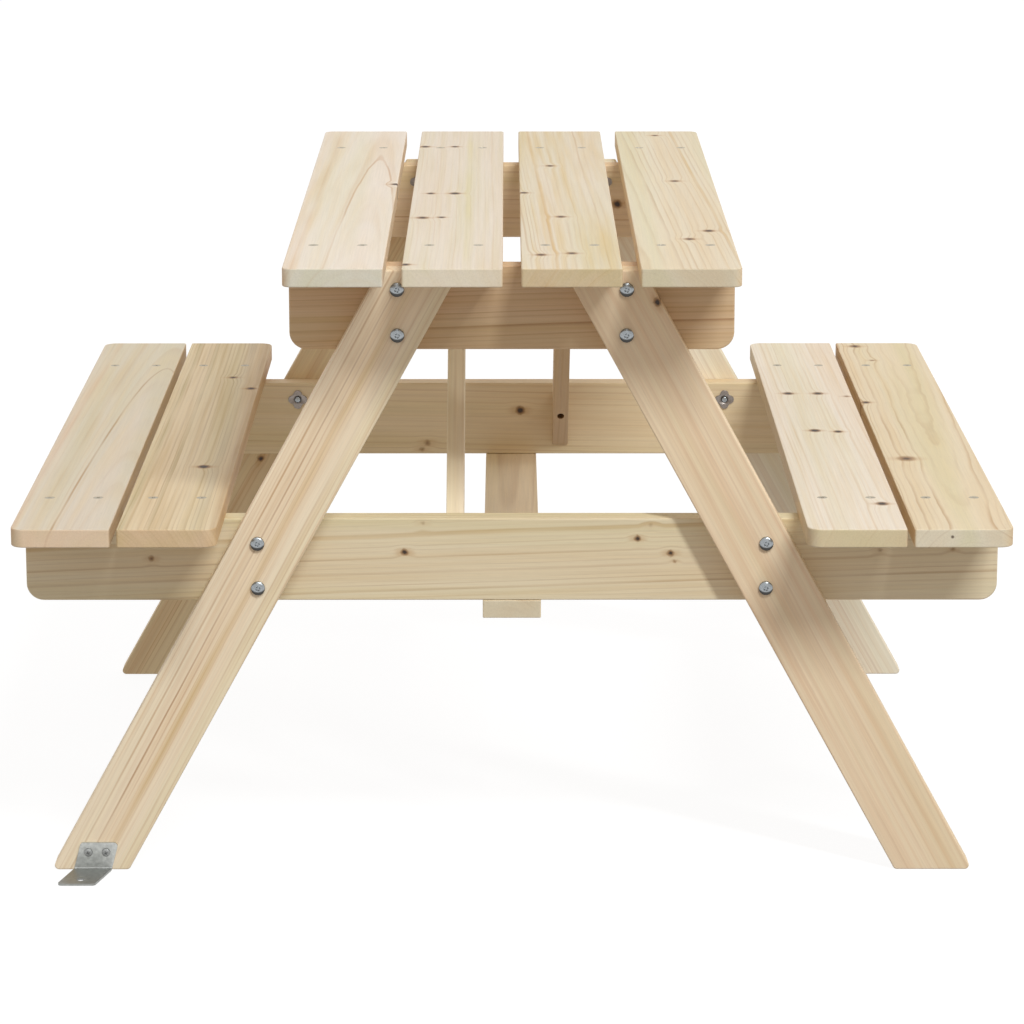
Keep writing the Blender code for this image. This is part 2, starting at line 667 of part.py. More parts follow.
for across in anchor_screws.values():
    place = Matrix.Translation((across, pilot_middle, screw_height)) @ face_out
    pilot_radius = clear_radius(screw_radius)
    pilots.append((place, pilot_radius, pilot_radius, pilot_length))
screw_pilots = cutter("anchor_screw_pilots", pilots, BORE_SIDES)
cut(anchor, screw_pilots)
cut(anchored_leg, screw_pilots)

# Screws of the anchor: a domed head on a shank that ends in a point
screw_head_radius = ANCHOR_SCREW_HEAD_DIAMETER / 2
shank_end = ANCHOR_SCREW_LENGTH - ANCHOR_SCREW_DIAMETER
screw_profile = domed_profile(screw_head_radius, 0, ANCHOR_SCREW_HEAD_HEIGHT, DOME_STEPS)[:-1] + [
    (screw_radius, 0),
    (screw_radius, -shank_end),
    (0, -ANCHOR_SCREW_LENGTH),
]
screw_mesh = evaluated_mesh(turned("anchor_screw", screw_profile, closed=False))
shade_round(screw_mesh)
screw_seat = wall_back - ANCHOR_THICKNESS - SEAT_GAP
for side, across in anchor_screws.items():
    place = (across, screw_seat, screw_height)
    piece(f"anchor_screw_{side}", screw_mesh, screw_steel, whole, place, standing)

print(f"tabletop {tabletop_width:.4f} m wide, overall {overall_width:.4f} m wide")
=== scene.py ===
import math

import bpy
from mathutils import Matrix, Vector
from mathutils.geometry import tessellate_polygon


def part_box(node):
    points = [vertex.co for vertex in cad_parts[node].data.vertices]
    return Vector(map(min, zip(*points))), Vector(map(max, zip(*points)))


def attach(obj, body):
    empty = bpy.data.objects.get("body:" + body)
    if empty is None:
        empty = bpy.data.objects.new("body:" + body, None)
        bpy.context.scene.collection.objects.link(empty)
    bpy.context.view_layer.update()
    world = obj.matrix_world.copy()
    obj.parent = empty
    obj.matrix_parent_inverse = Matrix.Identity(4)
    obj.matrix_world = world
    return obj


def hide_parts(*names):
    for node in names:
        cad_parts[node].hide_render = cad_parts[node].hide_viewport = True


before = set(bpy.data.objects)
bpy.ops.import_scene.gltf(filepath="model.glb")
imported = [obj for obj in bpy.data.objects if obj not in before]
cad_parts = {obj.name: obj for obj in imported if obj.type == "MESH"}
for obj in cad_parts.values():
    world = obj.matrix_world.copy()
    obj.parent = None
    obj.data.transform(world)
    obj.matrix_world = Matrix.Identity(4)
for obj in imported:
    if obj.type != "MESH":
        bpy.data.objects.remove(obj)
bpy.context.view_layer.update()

MM = 0.001

# Crossbeams: an apron under the tabletop and a longer beam under the benches, in each frame.
# Planed spruce 24 mm thick, with rounded lower corners, eased edges and bores for the bolts.
# The boards are drawn in their own axes: X along the grain, Y across it, Z out of the good face.
BEAM_CORNER_RADIUS = 16 * MM
BEAM_EDGE_EASE = 1.5 * MM
SQUARE_CORNER_RADIUS = 2.2 * MM
CORNER_STEPS = 8
EASE_STEPS = 3
BORE_SIDES = 24
NUT_BORE_RADIUS = 4.6 * MM


def linear(code):
    """The linear colour that shaders take, from an sRGB hex value."""
    shares = [int(code[at:at + 2], 16) / 255 for at in (1, 3, 5)]
    return (*[share / 12.92 if share <= 0.04045 else ((share + 0.055) / 1.055) ** 2.4 for share in shares], 1)


def add(tree, kind, inputs=None, **settings):
    """Adds one shader node, whose kind is what follows ShaderNode in its type, with its settings; an
    input is a number, a colour, or a socket or node to link."""
    made = tree.nodes.new("ShaderNode" + kind)
    for name, value in settings.items():
        setattr(made, name, value)
    for socket, value in (inputs or {}).items():
        if isinstance(value, bpy.types.Node):
            value = next(output for output in value.outputs if output.enabled)
        if isinstance(value, bpy.types.NodeSocket):
            tree.links.new(value, made.inputs[socket])
        else:
            made.inputs[socket].default_value = value
    return made


def emptied(owner):
    """The node tree of a new material or world, with no nodes in it."""
    owner.use_nodes = True
    owner.node_tree.nodes.clear()
    return owner.node_tree


def axes(origin, along, out):
    """The place of a piece from its origin, the way its X runs and the way its Z faces."""
    along, out = Vector(along).normalized(), Vector(out).normalized()
    turn = Matrix((along, out.cross(along), out)).transposed().to_4x4()
    return Matrix.Translation(origin) @ turn


def middle_of(node):
    """The middle of a CAD node's box."""
    low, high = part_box(node)
    return (low + high) / 2


def outward(node):
    """The way along Y that the outside of a node's frame faces: -1 at the front and 1 at the rear."""
    return -1 if "front" in node else 1


def rounded_outline(corners, radii):
    """(point, outward direction) anticlockwise round a flat outline, its corners rounded by arcs."""
    if (corners[1] - corners[0]).cross(corners[2] - corners[1]) < 0:
        corners, radii = corners[::-1], radii[::-1]
    points = []
    for index, (corner, radius) in enumerate(zip(corners, radii)):
        back = (corners[index - 1] - corner).normalized()
        ahead = (corners[(index + 1) % len(corners)] - corner).normalized()
        half_angle = back.angle(ahead) / 2
        tangent = radius / math.tan(half_angle)
        centre = corner + (back + ahead).normalized() * radius / math.sin(half_angle)
        first = (corner + back * tangent - centre).normalized()
        last = (corner + ahead * tangent - centre).normalized()
        for step in range(CORNER_STEPS + 1):
            way = first.slerp(last, step / CORNER_STEPS)
            points.append((centre + radius * way, way))
    return points


def slab_mesh(name, outline, thickness, ease, holes=()):
    """A closed slab with eased edges; a hole is its centre and its (radius, depth) steps from the top."""
    verts, faces, normals = [], [], []
    half, count = thickness / 2, len(outline)

    def face(corners, ways):
        faces.append(corners)
        normals.extend(ways)

    # The rim: levels of the outline from the bottom up, with a quarter round at each face
    levels = []
    for side in (-1, 1):
        for step in range(EASE_STEPS + 1):
            turn = math.pi / 2 * (step / EASE_STEPS - (side < 0))
            inset = ease * (1 - math.cos(turn))
            levels.append((inset, side * (half - ease) + ease * math.sin(turn), turn))
    ways = []
    for inset, height, turn in levels:
        for point, way in outline:
            verts.append((*(point - inset * way), height))
            ways.append((*(way * math.cos(turn)), math.sin(turn)))
    for level in range(len(levels) - 1):
        for index in range(count):
            after = (index + 1) % count
            quad = [level * count + index, level * count + after]
            quad += [quad[1] + count, quad[0] + count]
            face(quad, [ways[corner] for corner in quad])
    loops = {half: [list(range(len(verts) - count, len(verts)))], -half: [list(range(count))]}

    # The holes: rings of points with walls between them, and a floor where one doesn't go through
    turns = [2 * math.pi * side / BORE_SIDES for side in range(BORE_SIDES + 1)]
    for centre, steps in holes:
        rings = []
        for radius, depth in steps:
            rings.append(list(range(len(verts), len(verts) + BORE_SIDES)))
            for turn in turns[:-1]:
                spoke = Vector((math.cos(turn), math.sin(turn)))
                verts.append((*(centre + radius * spoke), half - depth))
        loops[half].append(rings[0])
        for (upper, lower), (start, end) in zip(zip(rings, rings[1:]), zip(steps, steps[1:])):
            rise, run = end[1] - start[1], start[0] - end[0]
            for side in range(BORE_SIDES):
                after = (side + 1) % BORE_SIDES
                bend = (turns[side], turns[side + 1], turns[side + 1], turns[side])
                wall = [Vector((-rise * math.cos(t), -rise * math.sin(t), run)).normalized() for t in bend]
                face([upper[side], upper[after], lower[after], lower[side]], wall)
        if steps[-1][1] < thickness:
            face(rings[-1], [(0, 0, 1)] * BORE_SIDES)
        else:
            loops[-half].append(rings[-1])

    # The upper and lower face, with the holes left open
    for height, rings in loops.items():
        flat = [corner for ring in rings for corner in ring]
        for triangle in tessellate_polygon([[Vector(verts[corner]) for corner in ring] for ring in rings]):
            corners = [flat[corner] for corner in triangle]
            a, b, c = (Vector(verts[corner]) for corner in corners)
            if (b - a).cross(c - a).z * height < 0:
                corners.reverse()
            face(corners, [(0, 0, math.copysign(1, height))] * 3)
    mesh = bpy.data.meshes.new(name)
    mesh.from_pydata(verts, [], faces)
    mesh.shade_smooth()
    mesh.normals_split_custom_set(normals)
    return mesh


SQUARE = ((-1, -1), (1, -1), (1, 1), (-1, 1))


def box_corners(width, height):
    """The corners of a rectangle from its half width and half height, anticlockwise from the lower left."""
    return [Vector((x * width, y * height)) for x, y in SQUARE]


def bolt_bores(bolts, place, radius, thickness):
    """The holes that bolts need through a board in its place."""
    steps = ((radius, 0), (radius, thickness))
    return [((place.inverted() @ middle_of(bolt)).to_2d(), steps) for bolt in bolts]


def in_scene(name, data):
    """A new object in the scene that holds a mesh, a lamp or a camera."""
    made = bpy.data.objects.new(name, data)
    bpy.context.scene.collection.objects.link(made)
    return made


def dressed(name, mesh, place, finish, node=None):
    """Puts a piece in place on the table, with its finish, and in place of its CAD node if it has one."""
    piece = in_scene(name, mesh)
    piece.matrix_world = place
    piece.data.materials.clear()
    piece.data.materials.append(finish)
    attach(piece, "root")
    if node:
        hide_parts(node)


# A knot's heart along and across the grain, for a width of 1, and the way that its stain runs out
KNOT_IN_PLANK = ((0.7, 0.55), (1.3, 0.55, 1))
KNOT_IN_BEAM = ((0.6, 0.55), (0.45, 0.95, 1))
# How far a knot's rim is torn in and out and the length of a tear, both in mm
KNOT_RAGGED = 2.4
KNOT_TEAR = 4
# Rings are pushed aside round a knot, as far as four times its size
KNOT_PUSH = 2.5 * MM
KNOT_PUSH_REACH = 4
# Wide and narrow years come in runs of nearly three, and a year's latewood is its last, darker part
YEAR_RUNS = 0.37
YEAR_SWING = 1.4
LATEWOOD_START = 0.55
LATEWOOD_DARKEST = 0.88
FAINTEST_YEAR = 0.15
END_FADE = 0.7
SLANT_LIMIT = 6 * MM
# The patterns' cells to the metre, along the grain and across it, from sizes in mm: bends of the stem
# 560 x 125, waves of the rings 80 x 70, patches where the rings show less 170 x 25, ochre streaks
# 330 x 5.6, greener and pinker bands 1100 x 45. Fibres are 0.03 wide, but drawn 90 x 1.7 and their
# darker flecks 14 x 1.1, so that they show.
BEND_CELLS = (1.8, 8, 8)
WAVE_CELLS = (12, 14, 14)
PATCH_CELLS = (6, 40, 40)
STREAK_CELLS = (3, 180, 0)
BAND_CELLS = (0.9, 22, 22)
FIBRE_CELLS = (11, 600, 600)
FLECK_CELLS = (70, 900, 900)


def planed_spruce(name, early, late, pith, ring=4.0, contrast=0.4, wander=3.0, ripple=0.4, streak="#D9BF8C",
                  streaks=0.3, lines=(), knots=(), knot_form=KNOT_IN_PLANK, end=(0.9, 0.89, 0.84),
                  side=(1, 1, 1), seed=0.0, lean=0.0, end_knot=None):
    """Spruce sawn flat and planed, unvarnished: cream earlywood, soft ochre latewood lines where the
    surface cuts the growth rings, long straight streaks, fine fibres and small brown knots, with a
    dull, dry face. The pith is (across, height, drift across, drift up) in mm and mm per metre, a line
    is the (radius, half width, strength, colour) of one year's wood, a knot is (along, across, width,
    depth), one on the ends (across, height, radius), the ends and sides take a share of the face's
    colour, and the grain leans by an angle."""
    made = bpy.data.materials.new(name)
    tree = emptied(made)
    surface = add(tree, "TexCoord")
    place = add(tree, "Mapping", {
        "Vector": surface.outputs["Object"], "Rotation": (0, 0, lean)}, vector_type="TEXTURE")
    # Each board's seed shifts its patterns, so that no two are alike
    shifted = add(tree, "VectorMath", {
        0: place, 1: (seed * 1.7, seed * 0.9, seed * 1.3)}, operation="ADD")

    # The ends face along the grain and the sides across it
    facings = []
    for way in ((math.cos(lean), math.sin(lean), 0), (-math.sin(lean), math.cos(lean), 0)):
        facing = add(tree, "VectorMath", {
            0: surface.outputs["Normal"], 1: way}, operation="DOT_PRODUCT").outputs["Value"]
        facings.append(add(tree, "Math", {0: facing, 1: facing}, operation="MULTIPLY"))
    end_face, side_face = facings

    # Knots: a branch cut through, near black at its heart, with a ragged brown rim and a stain
    ragged = add(tree, "TexNoise", {"Vector": place, "Scale": 1 / (KNOT_TEAR * MM), "Detail": 1})
    torn = add(tree, "VectorMath", {
        0: ragged.outputs["Color"], 1: (KNOT_RAGGED * MM, KNOT_RAGGED * MM, 0), 2: place},
        operation="MULTIPLY_ADD")
    nearest, dark, stain = None, None, None
    heart, tails = knot_form
    for along, across, width, depth in knots:
        centre = ((along + KNOT_RAGGED / 2) * MM, (across + KNOT_RAGGED / 2) * MM, 0)
        centred = add(tree, "Mapping", {
            "Vector": torn, "Location": centre,
            "Scale": (width * heart[0] * MM, width * heart[1] * MM, 1)}, vector_type="TEXTURE")
        reach = add(tree, "VectorMath", {0: centred}, operation="LENGTH").outputs["Value"]
        core = add(tree, "MapRange", {
            "Value": reach, "From Min": 1.35, "From Max": 0.15, "To Max": depth})
        flatter = add(tree, "VectorMath", {0: centred, 1: tails}, operation="MULTIPLY")
        spread = add(tree, "VectorMath", {0: flatter}, operation="LENGTH").outputs["Value"]
        tail = add(tree, "MapRange", {
            "Value": spread, "From Min": 1.5, "From Max": 0.3, "To Max": 0.5 * depth},
            interpolation_type="SMOOTHSTEP")
        if nearest is None:
            nearest, dark, stain = reach, core, tail
        else:
            nearest = add(tree, "Math", {0: nearest, 1: reach}, operation="MINIMUM")
            dark = add(tree, "Math", {0: dark, 1: core}, operation="MAXIMUM")
            stain = add(tree, "Math", {0: stain, 1: tail}, operation="MAXIMUM")

    # Growth rings: cylinders about the pith, which wander and ripple along the stem and bend round knots
    across, height, drift_across, drift_up = pith
    stem = add(tree, "Mapping", {
        "Vector": place, "Location": (0, across * MM, height * MM),
        "Rotation": (0, -drift_up * MM, drift_across * MM)}, vector_type="TEXTURE")
    flat = add(tree, "VectorMath", {0: stem, 1: (0, 1, 1)}, operation="MULTIPLY")
    radius = add(tree, "VectorMath", {0: flat}, operation="LENGTH").outputs["Value"]
    bent = radius
    for cells, amount in ((BEND_CELLS, wander), (WAVE_CELLS, ripple)):
        stretched = add(tree, "VectorMath", {0: shifted, 1: cells}, operation="MULTIPLY")
        sway = add(tree, "TexNoise", {"Vector": stretched, "Scale": 1, "Detail": 2})
        bent = add(tree, "Math", {0: sway, 1: 2 * amount * MM, 2: bent}, operation="MULTIPLY_ADD")
    if knots:
        pushed = add(tree, "MapRange", {
            "Value": nearest, "From Min": KNOT_PUSH_REACH, "From Max": 0, "To Max": KNOT_PUSH},
            interpolation_type="SMOOTHSTEP")
        bent = add(tree, "Math", {0: bent, 1: pushed}, operation="ADD")
    rings = add(tree, "Math", {0: bent, 1: 1 / (ring * MM), 2: seed * 10}, operation="MULTIPLY_ADD")
    years = add(tree, "TexNoise", {
        "W": rings, "Scale": YEAR_RUNS, "Detail": 0}, noise_dimensions="1D")
    uneven = add(tree, "Math", {0: years, 1: YEAR_SWING, 2: rings}, operation="MULTIPLY_ADD")
    within = add(tree, "Math", {0: uneven}, operation="FRACT")
    ramp = add(tree, "ValToRGB", {0: within})
    ramp.color_ramp.interpolation = "EASE"
    for position, level in ((LATEWOOD_START, 0), (LATEWOOD_DARKEST, 1)):
        ramp.color_ramp.elements.new(position).color = (level, level, level, 1)
    ramp.color_ramp.elements[-1].color = (0, 0, 0, 1)
    year = add(tree, "Math", {0: uneven}, operation="FLOOR")
    luck = add(tree, "TexWhiteNoise", {"W": year}, noise_dimensions="1D").outputs["Value"]
    weight = add(tree, "MapRange", {
        "Value": luck, "To Min": FAINTEST_YEAR * contrast, "To Max": contrast})
    latewood = add(tree, "Math", {0: ramp, 1: weight}, operation="MULTIPLY")
    patches = add(tree, "VectorMath", {0: shifted, 1: PATCH_CELLS}, operation="MULTIPLY")
    patch = add(tree, "TexNoise", {"Vector": patches, "Scale": 1, "Detail": 1})
    clear = add(tree, "MapRange", {
        "Value": patch, "From Min": 0.35, "From Max": 0.65, "To Min": 0.4, "To Max": 1.15})
    latewood = add(tree, "Math", {0: latewood, 1: clear}, operation="MULTIPLY")

    # The ends cut the fibres across: the rings hardly show there
    kept = add(tree, "Math", {0: end_face, 1: -END_FADE, 2: 1}, operation="MULTIPLY_ADD")
    latewood = add(tree, "Math", {0: latewood, 1: kept}, operation="MULTIPLY")
    colour = add(tree, "Mix", {0: latewood, 6: linear(early), 7: linear(late)}, data_type="RGBA")

    # Long streaks of ochre wood, which follow the rings
    lengthwise = add(tree, "SeparateXYZ", {0: shifted}).outputs["X"]
    with_rings = add(tree, "CombineXYZ", {"X": lengthwise, "Y": bent})
    drawn = add(tree, "VectorMath", {0: with_rings, 1: STREAK_CELLS}, operation="MULTIPLY")
    strip = add(tree, "TexNoise", {"Vector": drawn, "Scale": 1, "Detail": 2})
    ochre = add(tree, "MapRange", {
        "Value": strip, "From Min": 0.42, "From Max": 0.72, "To Max": streaks})
    ochre = add(tree, "Math", {0: ochre, 1: kept}, operation="MULTIPLY")
    colour = add(tree, "Mix", {0: ochre, 6: colour, 7: linear(streak)}, data_type="RGBA")
    if lines:
        # A ring spreads out where the face cuts it at a slant; its width is kept even over the face
        sideways = add(tree, "SeparateXYZ", {0: stem}).outputs["Y"]
        sideways = add(tree, "Math", {0: sideways}, operation="ABSOLUTE")
        sideways = add(tree, "Math", {0: sideways, 1: SLANT_LIMIT}, operation="MAXIMUM")
        slant = add(tree, "Math", {0: radius, 1: sideways}, operation="DIVIDE")
    # The noise shifts the rings outwards by its amount on average, and the lines shift with them
    for line_radius, half_width, strength, tone in lines:
        off = add(tree, "Math", {
            0: bent, 1: (line_radius + wander + ripple) * MM}, operation="SUBTRACT")
        off = add(tree, "Math", {0: off}, operation="ABSOLUTE")
        off = add(tree, "Math", {0: off, 1: slant}, operation="MULTIPLY")
        mark = add(tree, "MapRange", {
            "Value": off, "From Min": half_width * MM, "From Max": 0.15 * half_width * MM,
            "To Max": strength}, interpolation_type="SMOOTHSTEP")
        mark = add(tree, "Math", {0: mark, 1: kept}, operation="MULTIPLY")
        mark = add(tree, "Math", {0: mark, 1: clear}, operation="MULTIPLY")
        colour = add(tree, "Mix", {0: mark, 6: colour, 7: linear(tone)}, data_type="RGBA")

    # Broad bands of greener and pinker wood
    broad = add(tree, "VectorMath", {0: shifted, 1: BAND_CELLS}, operation="MULTIPLY")
    band = add(tree, "TexNoise", {"Vector": broad, "Scale": 1, "Detail": 2})
    tint = add(tree, "ValToRGB", {0: band})
    stops = tint.color_ramp.elements
    stops[0].position, stops[0].color = 0.3, linear("#F7F6E8")
    stops[1].position, stops[1].color = 0.7, linear("#FBF3EA")
    stops.new(0.5).color = linear("#FEFBF7")
    colour = add(tree, "Mix", {
        0: 1, 6: colour, 7: tint}, data_type="RGBA", blend_type="MULTIPLY")

    # Fibres: fine lines along the grain, with short darker flecks
    long_way = add(tree, "VectorMath", {0: shifted, 1: FIBRE_CELLS}, operation="MULTIPLY")
    fibre = add(tree, "TexNoise", {
        "Vector": long_way, "Scale": 1, "Detail": 3, "Roughness": 0.6})
    shade = add(tree, "MapRange", {
        "Value": fibre, "From Min": 0.25, "From Max": 0.75, "To Min": 0.94, "To Max": 1.05})
    short_way = add(tree, "VectorMath", {0: shifted, 1: FLECK_CELLS}, operation="MULTIPLY")
    fleck = add(tree, "TexNoise", {"Vector": short_way, "Scale": 1, "Detail": 1})
    flecks = add(tree, "MapRange", {
        "Value": fleck, "From Min": 0.6, "From Max": 0.8, "To Max": 0.05})
    shade = add(tree, "Math", {0: shade, 1: flecks}, operation="SUBTRACT")
    colour = add(tree, "VectorMath", {0: colour, "Scale": shade}, operation="SCALE")
    if knots:
        colour = add(tree, "Mix", {0: stain, 6: colour, 7: linear("#B98A50")}, data_type="RGBA")
        for start, full, share, tone in ((0.1, 0.5, 0.75, "#8B633A"), (0.4, 0.8, 1, "#35261A")):
            cover = add(tree, "MapRange", {
                "Value": dark, "From Min": start, "From Max": full, "To Max": share},
                interpolation_type="SMOOTHSTEP")
            colour = add(tree, "Mix", {0: cover, 6: colour, 7: linear(tone)}, data_type="RGBA")

    # The ends take a paler or browner share of the face's colour, and the sides a share of their own
    for facing, share in ((end_face, end), (side_face, side)):
        colour = add(tree, "Mix", {
            0: facing, 6: colour, 7: (*share, 1)}, data_type="RGBA", blend_type="MULTIPLY")
    if end_knot:
        knot_across, knot_height, knot_radius = end_knot
        off_knot = add(tree, "VectorMath", {
            0: place, 1: (0, knot_across * MM, knot_height * MM)}, operation="SUBTRACT")
        off_knot = add(tree, "VectorMath", {0: off_knot, 1: (0, 1, 1)}, operation="MULTIPLY")
        off_knot = add(tree, "VectorMath", {0: off_knot}, operation="LENGTH").outputs["Value"]
        cover = add(tree, "MapRange", {
            "Value": off_knot, "From Min": 1.6 * knot_radius * MM, "From Max": 0.5 * knot_radius * MM,
            "To Max": 0.9}, interpolation_type="SMOOTHSTEP")
        colour = add(tree, "Mix", {0: cover, 6: colour, 7: linear("#4A3626")}, data_type="RGBA")
    relief = add(tree, "Math", {0: latewood, 1: 0.6, 2: fibre}, operation="MULTIPLY_ADD")
    bump = add(tree, "Bump", {"Strength": 0.35, "Distance": 0.25 * MM, "Height": relief})
    gloss = add(tree, "MapRange", {"Value": fibre, "To Min": 0.5, "To Max": 0.72})
    wood = add(tree, "BsdfPrincipled", {
        "Base Color": colour, "Roughness": gloss, "IOR": 1.5, "Normal": bump})
    add(tree, "OutputMaterial", {"Surface": wood})
    return made


beam_looks = {
    "apron_front": dict(
        early="#DABF9C", late="#99683A", pith=(-90, -50, 12, 20), ring=4.5, contrast=0.62, streaks=0.4,
        streak="#C7A571", seed=2.1),
    "apron_rear": dict(
        early="#E8D0B0", late="#B28050", pith=(-70, -70, -10, 20), ring=5, contrast=0.5, seed=4.6,
        knot_form=KNOT_IN_BEAM, knots=((-114, -3, 9, 0.95),)),
    "bench_beam_front": dict(
        early="#E8DCBF", late="#A1763F", pith=(110, -60, 30, -10), ring=4.5, contrast=0.42, seed=7.3,
        lines=((110, 3.5, 0.55, "#C4A367"),), knot_form=KNOT_IN_BEAM,
        knots=((-336, 1, 6, 0.6), (-100, 7, 6.5, 0.85), (117, 20, 6, 0.8), (148, 6, 6.5, 0.8),
               (411, 10, 6, 0.4), (-83, 35, 6, 0.3), (129, 33, 6, 0.3), (152, -2, 4, 0.45),
               (343, 9, 6, 0.35))),
    "bench_beam_rear": dict(
        early="#E9D6B3", late="#B5884C", pith=(90, -90, 12, -10), ring=5, contrast=0.4, seed=9.8,
        knot_form=KNOT_IN_BEAM, knots=((-10, 9, 9, 0.95), (91, -27, 8, 0.5), (97, -34, 7, 0.45))),
}
bolt_nodes = [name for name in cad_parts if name.startswith("bolt_")]
for node, look in beam_looks.items():
    low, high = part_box(node)
    size = high - low
    front = outward(node)
    place = axes(middle_of(node), (-front, 0, 0), (0, front, 0))
    radii = [BEAM_CORNER_RADIUS] * 2 + [SQUARE_CORNER_RADIUS] * 2
    outline = rounded_outline(box_corners(size.x / 2, size.z / 2), radii)
    beam, end = node.replace("bench_", "").split("_")
    bolts = [bolt for bolt in bolt_nodes if beam in bolt and end in bolt]
    bores = bolt_bores(bolts, place, NUT_BORE_RADIUS, size.y)
    mesh = slab_mesh(node, outline, size.y, BEAM_EDGE_EASE, bores)
    wood = planed_spruce(f"planed_spruce_{node}", **look)
    dressed(f"{node}_board", mesh, place, wood, node)

# Legs: four planed spruce boards that lean outwards, bolted to the outer faces of the crossbeams.
# They are cut level at the top and at the ground, and their toes and heels are rounded.
# Each leans along the line of its own bolts, the rear ones a little more than the front ones.
LEG_WIDTH = 64 * MM
LEG_THICKNESS = 24 * MM
LEG_EDGE_EASE = 1.5 * MM
FOOT_CORNER_RADIUS = 4 * MM
BOLT_BORE_RADIUS = 3.3 * MM
leg_looks = {
    "leg_front_left": dict(
        early="#F8EAD0", late="#B98955", pith=(-90, -40, 6, 3), ring=4.5, contrast=0.45, seed=1.2,
        streak="#D8B384", streaks=0.4,
        lines=((112, 1.3, 0.7, "#AE8154"), (121, 1.5, 0.6, "#BC9160"), (101, 5, 0.35, "#D6BC7C"))),
    "leg_front_right": dict(
        early="#F1DEC0", late="#BD895E", pith=(85, -40, -8, 4), ring=5.5, contrast=0.2, seed=3.4,
        streak="#D9AD83", streaks=0.38, knot_form=KNOT_IN_BEAM, knots=((277, -29, 7, 0.95),)),
    "leg_rear_left": dict(
        early="#E5D5AF", late="#AD8653", pith=(90, -30, 4, 4), ring=5, contrast=0.4, seed=5.6,
        streak="#C9A074", streaks=0.45, knot_form=KNOT_IN_BEAM, knots=((-54, -13, 7, 0.9),)),
    "leg_rear_right": dict(
        early="#F6EFDC", late="#BB916A", pith=(-90, -30, 4, 4), ring=5, contrast=0.32, seed=8.7,
        streak="#DABB93"),
}
for node, look in leg_looks.items():
    low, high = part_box(node)
    front = outward(node)
    bolts = [bolt for bolt in bolt_nodes if node.replace("leg", "bolt") in bolt]
    crossings = []
    for beam in ("apron", "beam"):
        corners = [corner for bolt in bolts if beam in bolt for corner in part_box(bolt)]
        crossings.append(sum(corners, Vector()) / len(corners))
    upper, lower = crossings
    slope = (upper.x - lower.x) / (upper.z - lower.z)
    foot = upper.x - slope * upper.z
    half_cut = LEG_WIDTH / 2 * math.hypot(1, slope)
    top = high.z
    origin = Vector((foot + slope * top / 2, (low.y + high.y) / 2, top / 2))
    place = axes(origin, (-front, 0, 0), (0, front, 0))
    lean = math.atan2(1, -front * slope)
    rim = []
    for height, half in ((0, -half_cut), (0, half_cut), (top, half_cut), (top, -half_cut)):
        corner = Vector((foot + slope * height + half, origin.y, height))
        rim.append((place.inverted() @ corner).to_2d())
    radii = [FOOT_CORNER_RADIUS] * 2 + [SQUARE_CORNER_RADIUS] * 2
    bores = bolt_bores(bolts, place, BOLT_BORE_RADIUS, LEG_THICKNESS)
    mesh = slab_mesh(node, rounded_outline(rim, radii), LEG_THICKNESS, LEG_EDGE_EASE, bores)
    wood = planed_spruce(f"planed_spruce_{node}", lean=lean, **look)
    dressed(f"{node}_board", mesh, place, wood, node)

